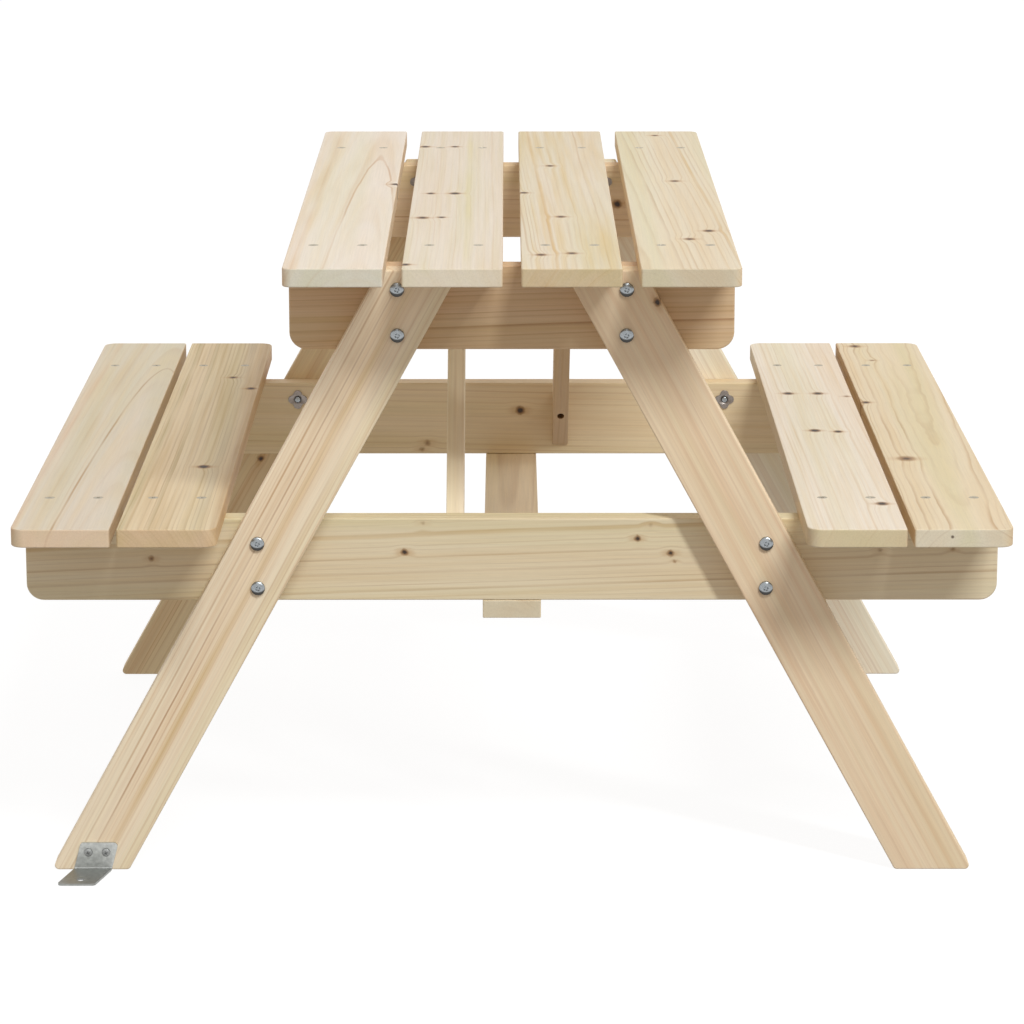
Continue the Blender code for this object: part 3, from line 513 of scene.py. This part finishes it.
# Planks: four for the tabletop and two for each bench, 890 x 90 x 17 mm, planed spruce.
# They lie with the grain running front to back, and the screws' heads are let into their tops.
PLANK_EDGE_EASE = 1.2 * MM
TABLETOP_CORNER_RADIUS = 9 * MM
BENCH_CORNER_RADIUS = 13 * MM
SINK_RADIUS = 5.0 * MM
SINK_FLOOR_RADIUS = 2.6 * MM
SINK_STEPS = ((SINK_RADIUS, 0), (SINK_FLOOR_RADIUS, SINK_RADIUS - SINK_FLOOR_RADIUS))
PLANK_SIDE_SHARE = (1.03, 0.93, 0.8)
plank_looks = {
    "tabletop_plank_1": dict(
        early="#E4DCD1", late="#BE9567", pith=(-22, -38, 0, -14), ring=9, contrast=0.22, wander=1.5, seed=1.1,
        lines=((50, 1.5, 0.55, "#BE9567"), (70, 6, 0.25, "#D2B284"), (75, 15, 0.2, "#D2B284")),
        knots=((55, -43, 10, 0.95),), end=(0.94, 0.99, 0.95), side=PLANK_SIDE_SHARE),
    "tabletop_plank_2": dict(
        early="#DED5C6", late="#C09F74", pith=(120, -60, 10, 12), ring=4, contrast=0.32, seed=2.7,
        streak="#CEBF8E", lines=((147, 5, 0.4, "#D6CC98"),), end=(1.09, 1.1, 1.06), side=PLANK_SIDE_SHARE,
        knots=((324, 39, 11, 0.9), (317, 21, 7, 0.6), (324, 7, 9, 0.9), (-6, 27, 9, 0.9), (-6, 3, 11, 0.98),
               (-159, 32, 12, 0.85), (-156, 14, 8, 0.9), (-423, 42, 10, 0.85))),
    "tabletop_plank_3": dict(
        early="#DBD1BD", late="#B2894D", pith=(-60, -60, 25, 0), ring=4, contrast=0.48, seed=4.2,
        streak="#D2B87C", streaks=0.6, lines=((108, 2.5, 0.6, "#CDAA66"),), end=(0.93, 0.85, 0.7),
        side=PLANK_SIDE_SHARE,
        knots=((182, 13, 10, 0.8), (-2, 41, 9, 0.9), (-153, 6, 11, 0.75), (-371, 27, 11, 0.75),
               (-363, -1, 11, 0.75))),
    "tabletop_plank_4": dict(
        early="#DDD4BE", late="#B18C52", pith=(60, -60, 35, 0), ring=4, contrast=0.48, seed=6.4,
        lines=((113, 2, 0.55, "#C9A868"),), end=(0.96, 0.96, 0.94), side=(1.15, 1.02, 0.88),
        knots=((411, 2, 9, 0.75), (76, -6, 11, 0.75), (-237, -25, 11, 0.88), (-284, -5, 11, 0.75))),
    "bench_plank_left_outer": dict(
        early="#D5CCBC", late="#B1895A", pith=(-36, -31.6, 0, -33), ring=6, contrast=0.25, wander=1.5,
        lines=((50, 1.7, 0.75, "#A98355"), (84, 6, 0.35, "#D3AD83"), (66, 12, 0.25, "#C6AE86")),
        seed=3.9, end=(1.18, 1.04, 0.92), side=PLANK_SIDE_SHARE),
    "bench_plank_left_inner": dict(
        early="#DCCCAC", late="#9F7A46", pith=(90, -50, 12, 18), ring=4, contrast=0.5, seed=5.3, streaks=0.5,
        streak="#BC9E66", end=(0.99, 0.89, 0.84), side=PLANK_SIDE_SHARE,
        lines=((80, 5, 0.4, "#A8996B"), (96, 3, 0.4, "#A08E5E"), (130, 8, 0.3, "#C4BCA8"),
               (144, 4, 0.5, "#A9834F")),
        knots=((250, -14, 10, 0.75), (191, -37, 11, 0.85), (-186, -15, 12, 0.98))),
    "bench_plank_right_inner": dict(
        early="#E9E1D3", late="#C19B62", pith=(-110, -60, 6, 15), ring=4, contrast=0.32, seed=7.7,
        end=(0.86, 0.81, 0.62), side=(0.8, 0.7, 0.52),
        knots=((164, 21, 11, 0.9), (164, -10, 11, 0.9), (-21, 7, 11, 0.95), (-26, -16, 9, 0.95),
               (-343, -31, 11, 0.95), (149, -39, 8, 0.5))),
    "bench_plank_right_outer": dict(
        early="#E0D3B7", late="#AC8248", pith=(-14, -34, -10, 7), ring=4, contrast=0.6, wander=4,
        ripple=1.8, seed=8.8, end=(1.04, 1.11, 1.22), end_knot=(11, 1.6, 1.3), side=PLANK_SIDE_SHARE,
        knots=((425, 25, 13, 0.75), (118, 40, 10, 0.85), (-151, 24, 18, 0.7), (344, 13, 8, 0.5))),
}
rounded_sides = {
    "tabletop_plank_1": -1, "tabletop_plank_4": 1, "bench_plank_left_outer": -1,
    "bench_plank_left_inner": 1, "bench_plank_right_inner": -1, "bench_plank_right_outer": 1}
beam_line = middle_of("apron_rear").y
screw_spots = []


def screw_sinks(board, place, size):
    """The sinks of two screws at each crossbeam; where they are is kept for the screws themselves."""
    sinks = []
    for along in (-beam_line, beam_line):
        for across in (-size.x / 4, size.x / 4):
            sinks.append((Vector((along, across)), SINK_STEPS))
            screw_spots.append((board, place @ Vector((along, across, size.z / 2))))
    return sinks


for node, look in plank_looks.items():
    low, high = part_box(node)
    size = high - low
    place = axes(middle_of(node), (0, 1, 0), (0, 0, 1))
    big = TABLETOP_CORNER_RADIUS if "tabletop" in node else BENCH_CORNER_RADIUS
    side = rounded_sides.get(node, 0)
    right = big if side > 0 else SQUARE_CORNER_RADIUS
    left = big if side < 0 else SQUARE_CORNER_RADIUS
    outline = rounded_outline(box_corners(size.y / 2, size.x / 2), (right, right, left, left))
    mesh = slab_mesh(node, outline, size.z, PLANK_EDGE_EASE, screw_sinks(node, place, size))
    wood = planed_spruce(f"planed_spruce_{node}", **look)
    dressed(f"{node}_board", mesh, place, wood, node)

# Stretcher: a 17 mm board of planed spruce that lies flat under both bench beams, on the centre line.
# It ties the two frames together, and two screws hold it to each beam from below.
BOARD_EDGE_EASE = 1 * MM
BOARD_CORNER_RADIUS = 1.5 * MM
low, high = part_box("stretcher")
size = high - low
place = axes(middle_of("stretcher"), (0, -1, 0), (0, 0, -1))
outline = rounded_outline(box_corners(size.y / 2, size.x / 2), [BOARD_CORNER_RADIUS] * 4)
mesh = slab_mesh("stretcher", outline, size.z, BOARD_EDGE_EASE, screw_sinks("stretcher", place, size))
wood = planed_spruce(
    "planed_spruce_stretcher", early="#FFF2D6", late="#A9794B", pith=(4, 24, 8, 14), ring=6, contrast=0.5,
    seed=6.1, end=(0.73, 0.75, 0.75))
dressed("stretcher_board", mesh, place, wood, "stretcher")

# Braces: two slanted boards of planed spruce, each from a bench beam up to the middle of a tabletop plank.
# A deep hole is bored level into the lower edge of each, and a screw in it holds the foot to the beam.
BRACE_WIDTH = 45 * MM
BRACE_SINK_RADIUS = 3.75 * MM
BRACE_SINK_RISE = 12.5 * MM
BRACE_SINK_FLOOR = 20 * MM
DRILL_LENGTH = 60 * MM
TURNED_STEPS = 28
ROUND_SHARP_ANGLE = math.radians(32)
BOARD_SHARP_ANGLE = math.radians(25)


def turned_mesh(name, profile, steps=TURNED_STEPS):
    """A turned body: its (radius, height) profile runs from the axis at the top to the axis below, or
    round a tube's wall back to its start."""
    verts, faces, rings = [], [], []
    for radius, height in profile:
        sides = steps if radius else 1
        rings.append(list(range(len(verts), len(verts) + sides)))
        for side in range(sides):
            turn = 2 * math.pi * side / steps
            verts.append((radius * math.cos(turn), radius * math.sin(turn), height))
    for upper, lower in zip(rings, rings[1:]):
        for side in range(steps):
            corners = []
            for ring, at in ((upper, side), (lower, side), (lower, side + 1), (upper, side + 1)):
                corners.append(ring[at % len(ring)])
            faces.append(list(dict.fromkeys(corners)))
    mesh = bpy.data.meshes.new(name)
    mesh.from_pydata(verts, [], faces)
    return mesh


def joined_mesh(base, tools, operation, sharp=ROUND_SHARP_ANGLE):
    """Cuts or joins meshes with a Boolean, and returns the finished mesh with sharp edges marked."""
    target = in_scene(base.name, base)
    helpers = []
    for tool in tools:
        helper = in_scene(tool.name, tool)
        boolean = target.modifiers.new("joined", "BOOLEAN")
        boolean.operation, boolean.object = operation, helper
        helpers.append(helper)
    bpy.context.view_layer.update()
    mesh = bpy.data.meshes.new_from_object(target.evaluated_get(bpy.context.evaluated_depsgraph_get()))
    for helper in [target, *helpers]:
        bpy.data.objects.remove(helper)
    mesh.shade_smooth()
    mesh.set_sharp_from_angle(angle=sharp)
    return mesh


beam_middle = middle_of("bench_beam_front").z
brace_looks = {
    "brace_left": dict(early="#FAEFDA", late="#BB9360", pith=(80, -40, 5, 5), seed=2.9),
    "brace_right": dict(early="#CEB08C", late="#A06D42", pith=(-80, -40, 5, 5), seed=4.4),
}
brace_screw_spots = []
for node, look in brace_looks.items():
    low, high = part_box(node)
    toward = -1 if node == "brace_left" else 1
    foot = low.y if toward < 0 else high.y
    angle = math.atan2(high.z - beam_middle, abs(foot))
    origin = Vector(((low.x + high.x) / 2, foot / 2, (high.z + beam_middle) / 2))
    place = axes(origin, (0, 1, 0), (1, 0, 0))
    lean = math.atan2(math.sin(angle), -toward * math.cos(angle))
    plumb, level = BRACE_WIDTH / 2 / math.cos(angle), BRACE_WIDTH / 2 / math.sin(angle)
    ends = (
        (foot, beam_middle - plumb), (-toward * level, high.z),
        (toward * level, high.z), (foot, beam_middle + plumb))
    rim = [(place.inverted() @ Vector((origin.x, y, z))).to_2d() for y, z in ends]
    outline = rounded_outline(rim, [BOARD_CORNER_RADIUS] * 4)
    solid = slab_mesh(node, outline, high.x - low.x, BOARD_EDGE_EASE)
    floor_spot = Vector((origin.x, foot - toward * BRACE_SINK_FLOOR, beam_middle + BRACE_SINK_RISE))
    drill = turned_mesh("drill", [
        (0, DRILL_LENGTH), (BRACE_SINK_RADIUS, DRILL_LENGTH), (BRACE_SINK_RADIUS, 0), (0, 0)])
    hole = axes(floor_spot, (1, 0, 0), (0, -toward, 0))
    drill.transform(place.inverted() @ hole)
    mesh = joined_mesh(solid, [drill], "DIFFERENCE", BOARD_SHARP_ANGLE)
    brace_screw_spots.append((node, hole))
    wood = planed_spruce(f"planed_spruce_{node}", lean=lean, **look)
    dressed(f"{node}_board", mesh, place, wood, node)

# Wood screws: countersunk steel in a dull, yellowish zinc, with a cross recess. Two hold each plank to
# each crossbeam, two the stretcher to each bench beam, and a smaller one each brace's foot. The heads
# sit a little below the wood, so their rims show as thin dark rings from the side.
SCREW_HEAD_RADIUS = 4.8 * MM
SCREW_HEAD_DEPTH = 2.8 * MM
SCREW_RIM = 0.2 * MM
SCREW_SHANK_RADIUS = 2.4 * MM
SCREW_POINT = 5 * MM
SCREW_LENGTH = 40 * MM
SCREW_SUNK = 0.1 * MM
SCREW_RECESS = (5 * MM, 1.2 * MM, 2 * MM)
SCREW_FIRST_TURN = 0.6
SCREW_NEXT_TURN = 0.7
FOOT_SCREW_SHARE = 0.75
RECESS_FOOT_SHARE = 0.4
CUT_OVERRUN = 1 * MM


def cross_recess(span, slot, depth, top, turn=0.0):
    """Two crossed wedges, shorter at their foot, that a driver's point leaves in a screw's head."""
    wedges = []
    for way in (0, math.pi / 2):
        mouth = [(x * span / 2, y * slot / 2, top + CUT_OVERRUN) for x, y in SQUARE]
        foot = [(x * span / 2 * RECESS_FOOT_SHARE, y * slot / 2, top - depth) for x, y in SQUARE]
        verts = mouth + foot
        faces = [(0, 1, 2, 3), (7, 6, 5, 4), (0, 4, 5, 1), (1, 5, 6, 2), (2, 6, 7, 3), (3, 7, 4, 0)]
        wedge = bpy.data.meshes.new("recess")
        wedge.from_pydata(verts, [], faces)
        wedge.transform(Matrix.Rotation(turn + way, 4, "Z"))
        wedges.append(wedge)
    return wedges


DARK_CRYSTAL_SHARE = 0.72


def zinc_plate(name, base, roughness, grain, darkening=None):
    """Zinc plating on steel, passivated: a grey metal whose fine crystals blur what it mirrors. The
    grain is the crystals' size in mm, drawn coarser than real ones so that it shows. Darkening mixes
    in a near black away from a point: painted shade under the bolts' domes, and a darker foot on the
    anchor. It is given as the point that it lies away from, the directions that count, the distances
    where it starts and is full, and its share."""
    made = bpy.data.materials.new(name)
    tree = emptied(made)
    place = add(tree, "TexCoord").outputs["Object"]
    crystal = add(tree, "TexNoise", {"Vector": place, "Scale": 1 / (grain * MM), "Detail": 3})
    colour = add(tree, "ValToRGB", {0: crystal})
    dark, light = colour.color_ramp.elements
    dark.position, light.position = 0.3, 0.7
    light.color = linear(base)
    dark.color = (*[share * DARK_CRYSTAL_SHARE for share in linear(base)[:3]], 1)
    # Darkening: a near black mixed in away from a point, painted shade on the bolts' lower rims and a darker
    # foot on the anchor
    if darkening:
        pale_centre, directions, start, full, share = darkening
        away = add(tree, "VectorMath", {0: place, 1: pale_centre}, operation="SUBTRACT")
        away = add(tree, "VectorMath", {0: away, 1: directions}, operation="MULTIPLY")
        away = add(tree, "VectorMath", {0: away}, operation="LENGTH").outputs["Value"]
        dark_share = add(tree, "MapRange", {
            "Value": away, "From Min": start, "From Max": full, "To Max": share},
            interpolation_type="SMOOTHSTEP")
        colour = add(tree, "Mix", {0: dark_share, 6: colour, 7: linear("#332F2A")}, data_type="RGBA")
    gloss = add(tree, "MapRange", {
        "Value": crystal, "To Min": roughness - 0.08, "To Max": roughness + 0.1})
    bump = add(tree, "Bump", {"Strength": 0.2, "Distance": 0.05 * MM, "Height": crystal})
    zinc = add(tree, "BsdfPrincipled", {
        "Base Color": colour, "Metallic": 1, "Roughness": gloss, "Normal": bump})
    add(tree, "OutputMaterial", {"Surface": zinc})
    return made


screw_zinc = zinc_plate("zinc_plated_screw", "#C4BBA9", 0.5, 1.5)
screw_profile = [
    (0, 0), (SCREW_HEAD_RADIUS - SCREW_RIM, 0), (SCREW_HEAD_RADIUS, -SCREW_RIM),
    (SCREW_SHANK_RADIUS, -SCREW_HEAD_DEPTH), (SCREW_SHANK_RADIUS, SCREW_POINT - SCREW_LENGTH),
    (0, -SCREW_LENGTH)]
screw_mesh = joined_mesh(
    turned_mesh("countersunk_screw", screw_profile), cross_recess(*SCREW_RECESS, 0), "DIFFERENCE")
for number, (node, spot) in enumerate(screw_spots):
    up = -1 if node == "stretcher" else 1
    turn = SCREW_FIRST_TURN + number * SCREW_NEXT_TURN
    seat = spot - Vector((0, 0, up * SCREW_SUNK))
    place = axes(seat, (math.cos(turn), math.sin(turn), 0), (0, 0, up))
    dressed(f"{node}_screw_{number % 4 + 1}", screw_mesh, place, screw_zinc)
foot_screw_mesh = screw_mesh.copy()
foot_screw_mesh.transform(Matrix.Scale(FOOT_SCREW_SHARE, 4))
for node, place in brace_screw_spots:
    dressed(f"{node}_foot_screw", foot_screw_mesh, place, screw_zinc)

# Bolts: 6 mm, with a low domed head and a cross recess, two where each leg crosses a crossbeam.
# Their bright zinc catches the lamp near the domes' upper rims, and painted shade darkens the lower ones.
BOLT_HEAD_RADIUS = 6.5 * MM
BOLT_RIM = 1.7 * MM
BOLT_DOME = 2.1 * MM
BOLT_RADIUS = 3.0 * MM
BOLT_END_EASE = 1.2 * MM
BOLT_RECESS = (6.6 * MM, 1.9 * MM, 1.2 * MM)
BOLT_RECESS_TURN = math.radians(22)
BOLT_SIDES = 40
BOLT_DOME_STEPS = 10
BOLT_END_STEPS = 5
# Painted shade lies further than 7.6 mm from a point 5 mm above the head's middle, and is full at 8.9 mm
BOLT_PAINTED_SHADE = ((0, 5 * MM, 0), (1, 1, 0), 7.6 * MM, 8.9 * MM, 0.9)


def quarter_turn(steps):
    """The angles from 0 to 90 degrees, in equal steps."""
    return [math.radians(90 / steps * step) for step in range(steps + 1)]


def fastener_place(node, seat, along, out):
    """The place of a fastener on its CAD node's axis, with its head's seat at a height along Y."""
    middle = middle_of(node)
    return axes((middle.x, seat, middle.z), (along, 0, 0), (0, out, 0))


# The darkening on the bolts is painted shade round the lower rims of the domes
bolt_zinc = zinc_plate("zinc_plated_bolt", "#A9AEB1", 0.28, 1.8, BOLT_PAINTED_SHADE)
crown = BOLT_RIM + BOLT_DOME
low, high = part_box(bolt_nodes[0])
bolt_length = high.y - low.y - crown
bolt_profile = []
for angle in quarter_turn(BOLT_DOME_STEPS):
    bolt_profile.append((BOLT_HEAD_RADIUS * math.sin(angle), BOLT_RIM + BOLT_DOME * math.cos(angle)))
bolt_profile += [(BOLT_HEAD_RADIUS, 0), (BOLT_RADIUS, 0)]
for angle in quarter_turn(BOLT_END_STEPS):
    bolt_profile.append((
        BOLT_RADIUS - BOLT_END_EASE * (1 - math.cos(angle)),
        BOLT_END_EASE * (1 - math.sin(angle)) - bolt_length))
bolt_profile.append((0, -bolt_length))
recess = cross_recess(*BOLT_RECESS, crown, BOLT_RECESS_TURN)
bolt_mesh = joined_mesh(turned_mesh("bolt", bolt_profile, BOLT_SIDES), recess, "DIFFERENCE")
for node in bolt_nodes:
    low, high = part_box(node)
    front = outward(node)
    seat = (low.y if front < 0 else high.y) - front * crown
    place = fastener_place(node, seat, -front, front)
    dressed(node.replace("bolt", "domed_bolt"), bolt_mesh, place, bolt_zinc, node)

# Tee nuts: stamped steel in a duller zinc, a flange of four petals on a threaded barrel. Their
# darker, warmer grey is painted shade and painted reflection of the brown wood round them.
# The prongs between the petals are bent down and pressed into the crossbeam's inner face.
NUT_PETAL_RADIUS = 10.2 * MM
NUT_NOTCH_RADIUS = 7.4 * MM
NUT_NOTCH_SHARPNESS = 1.6
NUT_RIM_STEPS = 96
NUT_RIM_NUDGE = 0.001
NUT_FLANGE = 1.2 * MM
NUT_FLANGE_EASE = 0.4 * MM
NUT_BARREL = 9 * MM
NUT_BARREL_RADIUS = 4.3 * MM
NUT_MOUTH_RADIUS = 4.8 * MM
NUT_MOUTH_EASE = 0.5 * MM
NUT_THREAD_RADIUS = 3.15 * MM
# The barrel widens into a funnel, whose wall swells outwards and steps inwards on its way up
FUNNEL_TOP = 0.35 * MM
FUNNEL_SWELL, FUNNEL_SWELL_DEPTH = 0.4 * MM, 0.8 * MM
FUNNEL_STEP, FUNNEL_STEP_DEPTH = 0.7 * MM, 0.5 * MM
FUNNEL_FOOT = 1.6 * MM
THREAD_TOP = 1.5 * MM
PRONG_TOP = 0.3 * MM
PRONG_LENGTH = 5.5 * MM
PRONG_HALF_WIDTH = 1.6 * MM
PRONG_HALF_THICKNESS = 0.5 * MM
PRONG_TO_NOTCH = 0.7 * MM
# The base colour's darker, warmer grey is painted shade and painted reflection of the wood round the nuts
nut_zinc = zinc_plate("zinc_plated_tee_nut", "#9C938C", 0.42, 1.4)


def petal_rim(turn):
    """The point of the flange's rim at an angle: four rounded petals with a notch between each two."""
    dip = (0.5 - 0.5 * math.cos(4 * turn)) ** NUT_NOTCH_SHARPNESS
    radius = NUT_PETAL_RADIUS - (NUT_PETAL_RADIUS - NUT_NOTCH_RADIUS) * dip
    return Vector((radius * math.cos(turn), radius * math.sin(turn)))


petals = []
for step in range(NUT_RIM_STEPS):
    turn = 2 * math.pi * step / NUT_RIM_STEPS
    run = (petal_rim(turn + NUT_RIM_NUDGE) - petal_rim(turn - NUT_RIM_NUDGE)).normalized()
    petals.append((petal_rim(turn), Vector((run.y, -run.x))))
mouth = (Vector((0, 0)), ((NUT_MOUTH_RADIUS, 0), (NUT_MOUTH_RADIUS - NUT_MOUTH_EASE, NUT_FLANGE)))
flange = slab_mesh("tee_nut", petals, NUT_FLANGE, NUT_FLANGE_EASE, [mouth])
flange.transform(Matrix.Translation((0, 0, -NUT_FLANGE / 2)))
barrel_profile = [
    (NUT_MOUTH_RADIUS, -FUNNEL_TOP), (NUT_MOUTH_RADIUS + FUNNEL_SWELL, -FUNNEL_SWELL_DEPTH),
    (NUT_BARREL_RADIUS, -FUNNEL_FOOT), (NUT_BARREL_RADIUS, -NUT_BARREL),
    (NUT_THREAD_RADIUS, -NUT_BARREL), (NUT_THREAD_RADIUS, -THREAD_TOP),
    (NUT_MOUTH_RADIUS - FUNNEL_STEP, -FUNNEL_STEP_DEPTH), (NUT_MOUTH_RADIUS, -FUNNEL_TOP)]
barrel = turned_mesh("barrel", barrel_profile)
prongs = []
for quarter in range(4):
    prong = bpy.data.meshes.new("prong")
    tooth = ((-PRONG_HALF_WIDTH, -PRONG_TOP), (PRONG_HALF_WIDTH, -PRONG_TOP), (0, -PRONG_LENGTH))
    verts = [(x, y, z) for x in (-PRONG_HALF_THICKNESS, PRONG_HALF_THICKNESS) for y, z in tooth]
    prong.from_pydata(verts, [], [(0, 1, 2), (5, 4, 3), (0, 3, 4, 1), (1, 4, 5, 2), (2, 5, 3, 0)])
    spoke = Matrix.Rotation(math.pi / 4 + quarter * math.pi / 2, 4, "Z")
    prong.transform(spoke @ Matrix.Translation((NUT_NOTCH_RADIUS - PRONG_TO_NOTCH, 0, 0)))
    prongs.append(prong)
nut_mesh = joined_mesh(flange, [barrel, *prongs], "UNION")
for bolt in bolt_nodes:
    node = bolt.replace("bolt", "tee_nut")
    low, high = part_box(node)
    inner = -outward(node)
    seat = high.y if inner > 0 else low.y
    place = fastener_place(node, seat, 1, inner)
    dressed(node.replace("tee_nut", "petal_tee_nut"), nut_mesh, place, nut_zinc, node)

# Ground anchor: a strip of galvanised steel, punched and folded, on the toe of the front left leg.
# The hot dip has rounded its cut edges and left pale zinc in coarse crystals. The zinc is darker
# at its foot, from 4.5 mm above the ground down.
ANCHOR_CENTRE_HEIGHT = 40 * MM
ANCHOR_DARK_TOP = 4.5 * MM
ANCHOR_DARK_FULL = 2.2 * MM
ANCHOR_DARK_SHARE = 0.44
ANCHOR_EDGE_EASE = 0.5 * MM
ANCHOR_EDGE_STEPS = 3
ANCHOR_SHARP_ANGLE = math.radians(40)
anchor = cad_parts["ground_anchor"]
pale_centre = anchor.matrix_world.inverted() @ Vector((0, 0, ANCHOR_CENTRE_HEIGHT))
# The foot is darker from 4.5 mm above the ground, and fully so below 2.2 mm
anchor_foot_darkening = (
    pale_centre, (0, 0, 1), ANCHOR_CENTRE_HEIGHT - ANCHOR_DARK_TOP, ANCHOR_CENTRE_HEIGHT - ANCHOR_DARK_FULL,
    ANCHOR_DARK_SHARE)
galvanised = zinc_plate("galvanised_strip", "#CDCFCB", 0.4, 3.0, anchor_foot_darkening)
anchor.data.materials.clear()
anchor.data.materials.append(galvanised)
soft_edge = anchor.modifiers.new("dipped_edges", "BEVEL")
soft_edge.width = ANCHOR_EDGE_EASE
soft_edge.segments = ANCHOR_EDGE_STEPS
soft_edge.angle_limit = ANCHOR_SHARP_ANGLE
soft_edge.harden_normals = True

# Anchor screws: two pan heads of zinc-plated steel with a cross recess, worn to a matt grey.
# They hold the anchor's upright half to the leg, and their shanks run into the wood to a point.
PAN_RADIUS = 4 * MM
PAN_HEIGHT = 2.4 * MM
PAN_STEPS = 9
PAN_SQUARENESS = 0.6
PAN_SHANK_RADIUS = 2 * MM
PAN_POINT = 4 * MM
PAN_RECESS = (4.2 * MM, 0.9 * MM, 1.5 * MM)
PAN_RECESS_TURN = 0.35
low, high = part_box("anchor_screw_left")
pan_length = high.y - low.y - PAN_HEIGHT
pan_profile = []
for angle in quarter_turn(PAN_STEPS)[:-1]:
    radius = PAN_RADIUS * math.sin(angle) ** PAN_SQUARENESS
    pan_profile.append((radius, PAN_HEIGHT * math.cos(angle) ** PAN_SQUARENESS))
pan_profile += [
    (PAN_RADIUS, 0), (PAN_SHANK_RADIUS, 0), (PAN_SHANK_RADIUS, PAN_POINT - pan_length), (0, -pan_length)]
recess = cross_recess(*PAN_RECESS, PAN_HEIGHT, PAN_RECESS_TURN)
pan_mesh = joined_mesh(turned_mesh("pan_screw", pan_profile), recess, "DIFFERENCE")
pan_zinc = zinc_plate("zinc_plated_pan_screw", "#A6A7A5", 0.62, 1.5)
for node in ("anchor_screw_left", "anchor_screw_right"):
    low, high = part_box(node)
    place = fastener_place(node, low.y + PAN_HEIGHT, 1, -1)
    dressed(node.replace("anchor_screw", "pan_screw"), pan_mesh, place, pan_zinc, node)

# Studio: a pale floor, a white room that is brighter behind, and a leaning strip lamp high at the
# front right. The camera sees floor and room as white, and the floor keeps a faint shadow of the
# table. The light that the walls and the floor send back is a touch warmer than the lamp's.
FLOOR_HALF = 30.0
FLOOR_LEVEL = 0.38
FLOOR_GLOW = 0.91
FLOOR_GREY = "#686868"
ROOM_FRONT_WAY, ROOM_FRONT_LEVEL = -0.2, 0.53
ROOM_BACK_WAY, ROOM_BACK_LEVEL = 0.7, 0.85
WALL_WHITE = "#FFF7F2"
LAMP_WHITE = "#F9FDFF"
LAMP_WAY = Vector((0.294, -0.5885, 0.753)).normalized()
LAMP_RISE = Vector((-0.275, 0.1285, 0.218))
LAMP_DISTANCE = 12.0
LAMP_LENGTH = 4.5
LAMP_BREADTH = 0.9
LAMP_POWER = 856


def seen_directly(tree):
    """1 for what the camera sees itself, in a mirror or through glass, 0 for light that falls on things."""
    path = add(tree, "LightPath")
    seen = add(tree, "Math", {
        0: path.outputs["Is Camera Ray"], 1: path.outputs["Is Glossy Ray"]}, operation="MAXIMUM")
    return add(tree, "Math", {
        0: seen, 1: path.outputs["Is Transmission Ray"]}, operation="MAXIMUM")


mesh = bpy.data.meshes.new("floor")
floor_corners = [(*corner, 0) for corner in box_corners(FLOOR_HALF, FLOOR_HALF)]
mesh.from_pydata(floor_corners, [], [(0, 1, 2, 3)])
floor = in_scene("floor", mesh)
paint = bpy.data.materials.new("matt_floor_paint")
tree = emptied(paint)
glow = add(tree, "Emission", {"Color": linear("#FFFFFF"), "Strength": FLOOR_GLOW})
faint = add(tree, "BsdfDiffuse", {"Color": linear(FLOOR_GREY)})
shown = add(tree, "AddShader", {0: glow, 1: faint})
bounce = add(tree, "Emission", {"Color": linear(WALL_WHITE), "Strength": FLOOR_LEVEL})
paint_or_bounce = add(tree, "MixShader", {0: seen_directly(tree), 1: bounce, 2: shown})
add(tree, "OutputMaterial", {"Surface": paint_or_bounce})
mesh.materials.append(paint)

world = bpy.data.worlds.new("white_room")
bpy.context.scene.world = world
tree = emptied(world)
way = add(tree, "TexCoord").outputs["Generated"]
behind = add(tree, "SeparateXYZ", {0: way}).outputs["Y"]
level = add(tree, "MapRange", {
    "Value": behind, "From Min": ROOM_FRONT_WAY, "From Max": ROOM_BACK_WAY,
    "To Min": ROOM_FRONT_LEVEL, "To Max": ROOM_BACK_LEVEL}, interpolation_type="SMOOTHSTEP")
dim = add(tree, "Background", {"Color": linear(WALL_WHITE), "Strength": level})
bright = add(tree, "Background", {"Color": linear("#FFFFFF"), "Strength": 1})
room = add(tree, "MixShader", {0: seen_directly(tree), 1: dim, 2: bright})
add(tree, "OutputWorld", {"Surface": room})

strip = bpy.data.lights.new("strip_lamp", "AREA")
strip.shape = "RECTANGLE"
strip.size = LAMP_LENGTH
strip.size_y = LAMP_BREADTH
strip.energy = LAMP_POWER
strip.color = linear(LAMP_WHITE)[:3]
lamp_run = LAMP_RISE - LAMP_RISE.dot(LAMP_WAY) * LAMP_WAY
in_scene("strip_lamp", strip).matrix_world = axes(LAMP_WAY * LAMP_DISTANCE, lamp_run, LAMP_WAY)

# Camera: a long lens 3.9 m in front of the table's middle, 5 mm to the left, looking 13 degrees down.
# Its place, turn and focal length put the table's edges where the photograph has them.
SENSOR = 36.0
FOCAL_PIXELS = 3974.3
PICTURE_PIXELS = 1024
CAMERA_PLACE = (-0.0049, -3.9248, 1.1914)
CAMERA_DOWN = math.radians(13.308)
CAMERA_TURN = math.radians(-0.08)
camera = in_scene("camera", bpy.data.cameras.new("camera"))
camera.data.sensor_fit = "HORIZONTAL"
camera.data.sensor_width = SENSOR
camera.data.lens = SENSOR * FOCAL_PIXELS / PICTURE_PIXELS
camera.location = CAMERA_PLACE
camera.rotation_euler = (math.pi / 2 - CAMERA_DOWN, 0, CAMERA_TURN)
bpy.context.scene.camera = camera
bpy.context.scene.view_settings.view_transform = "Standard"
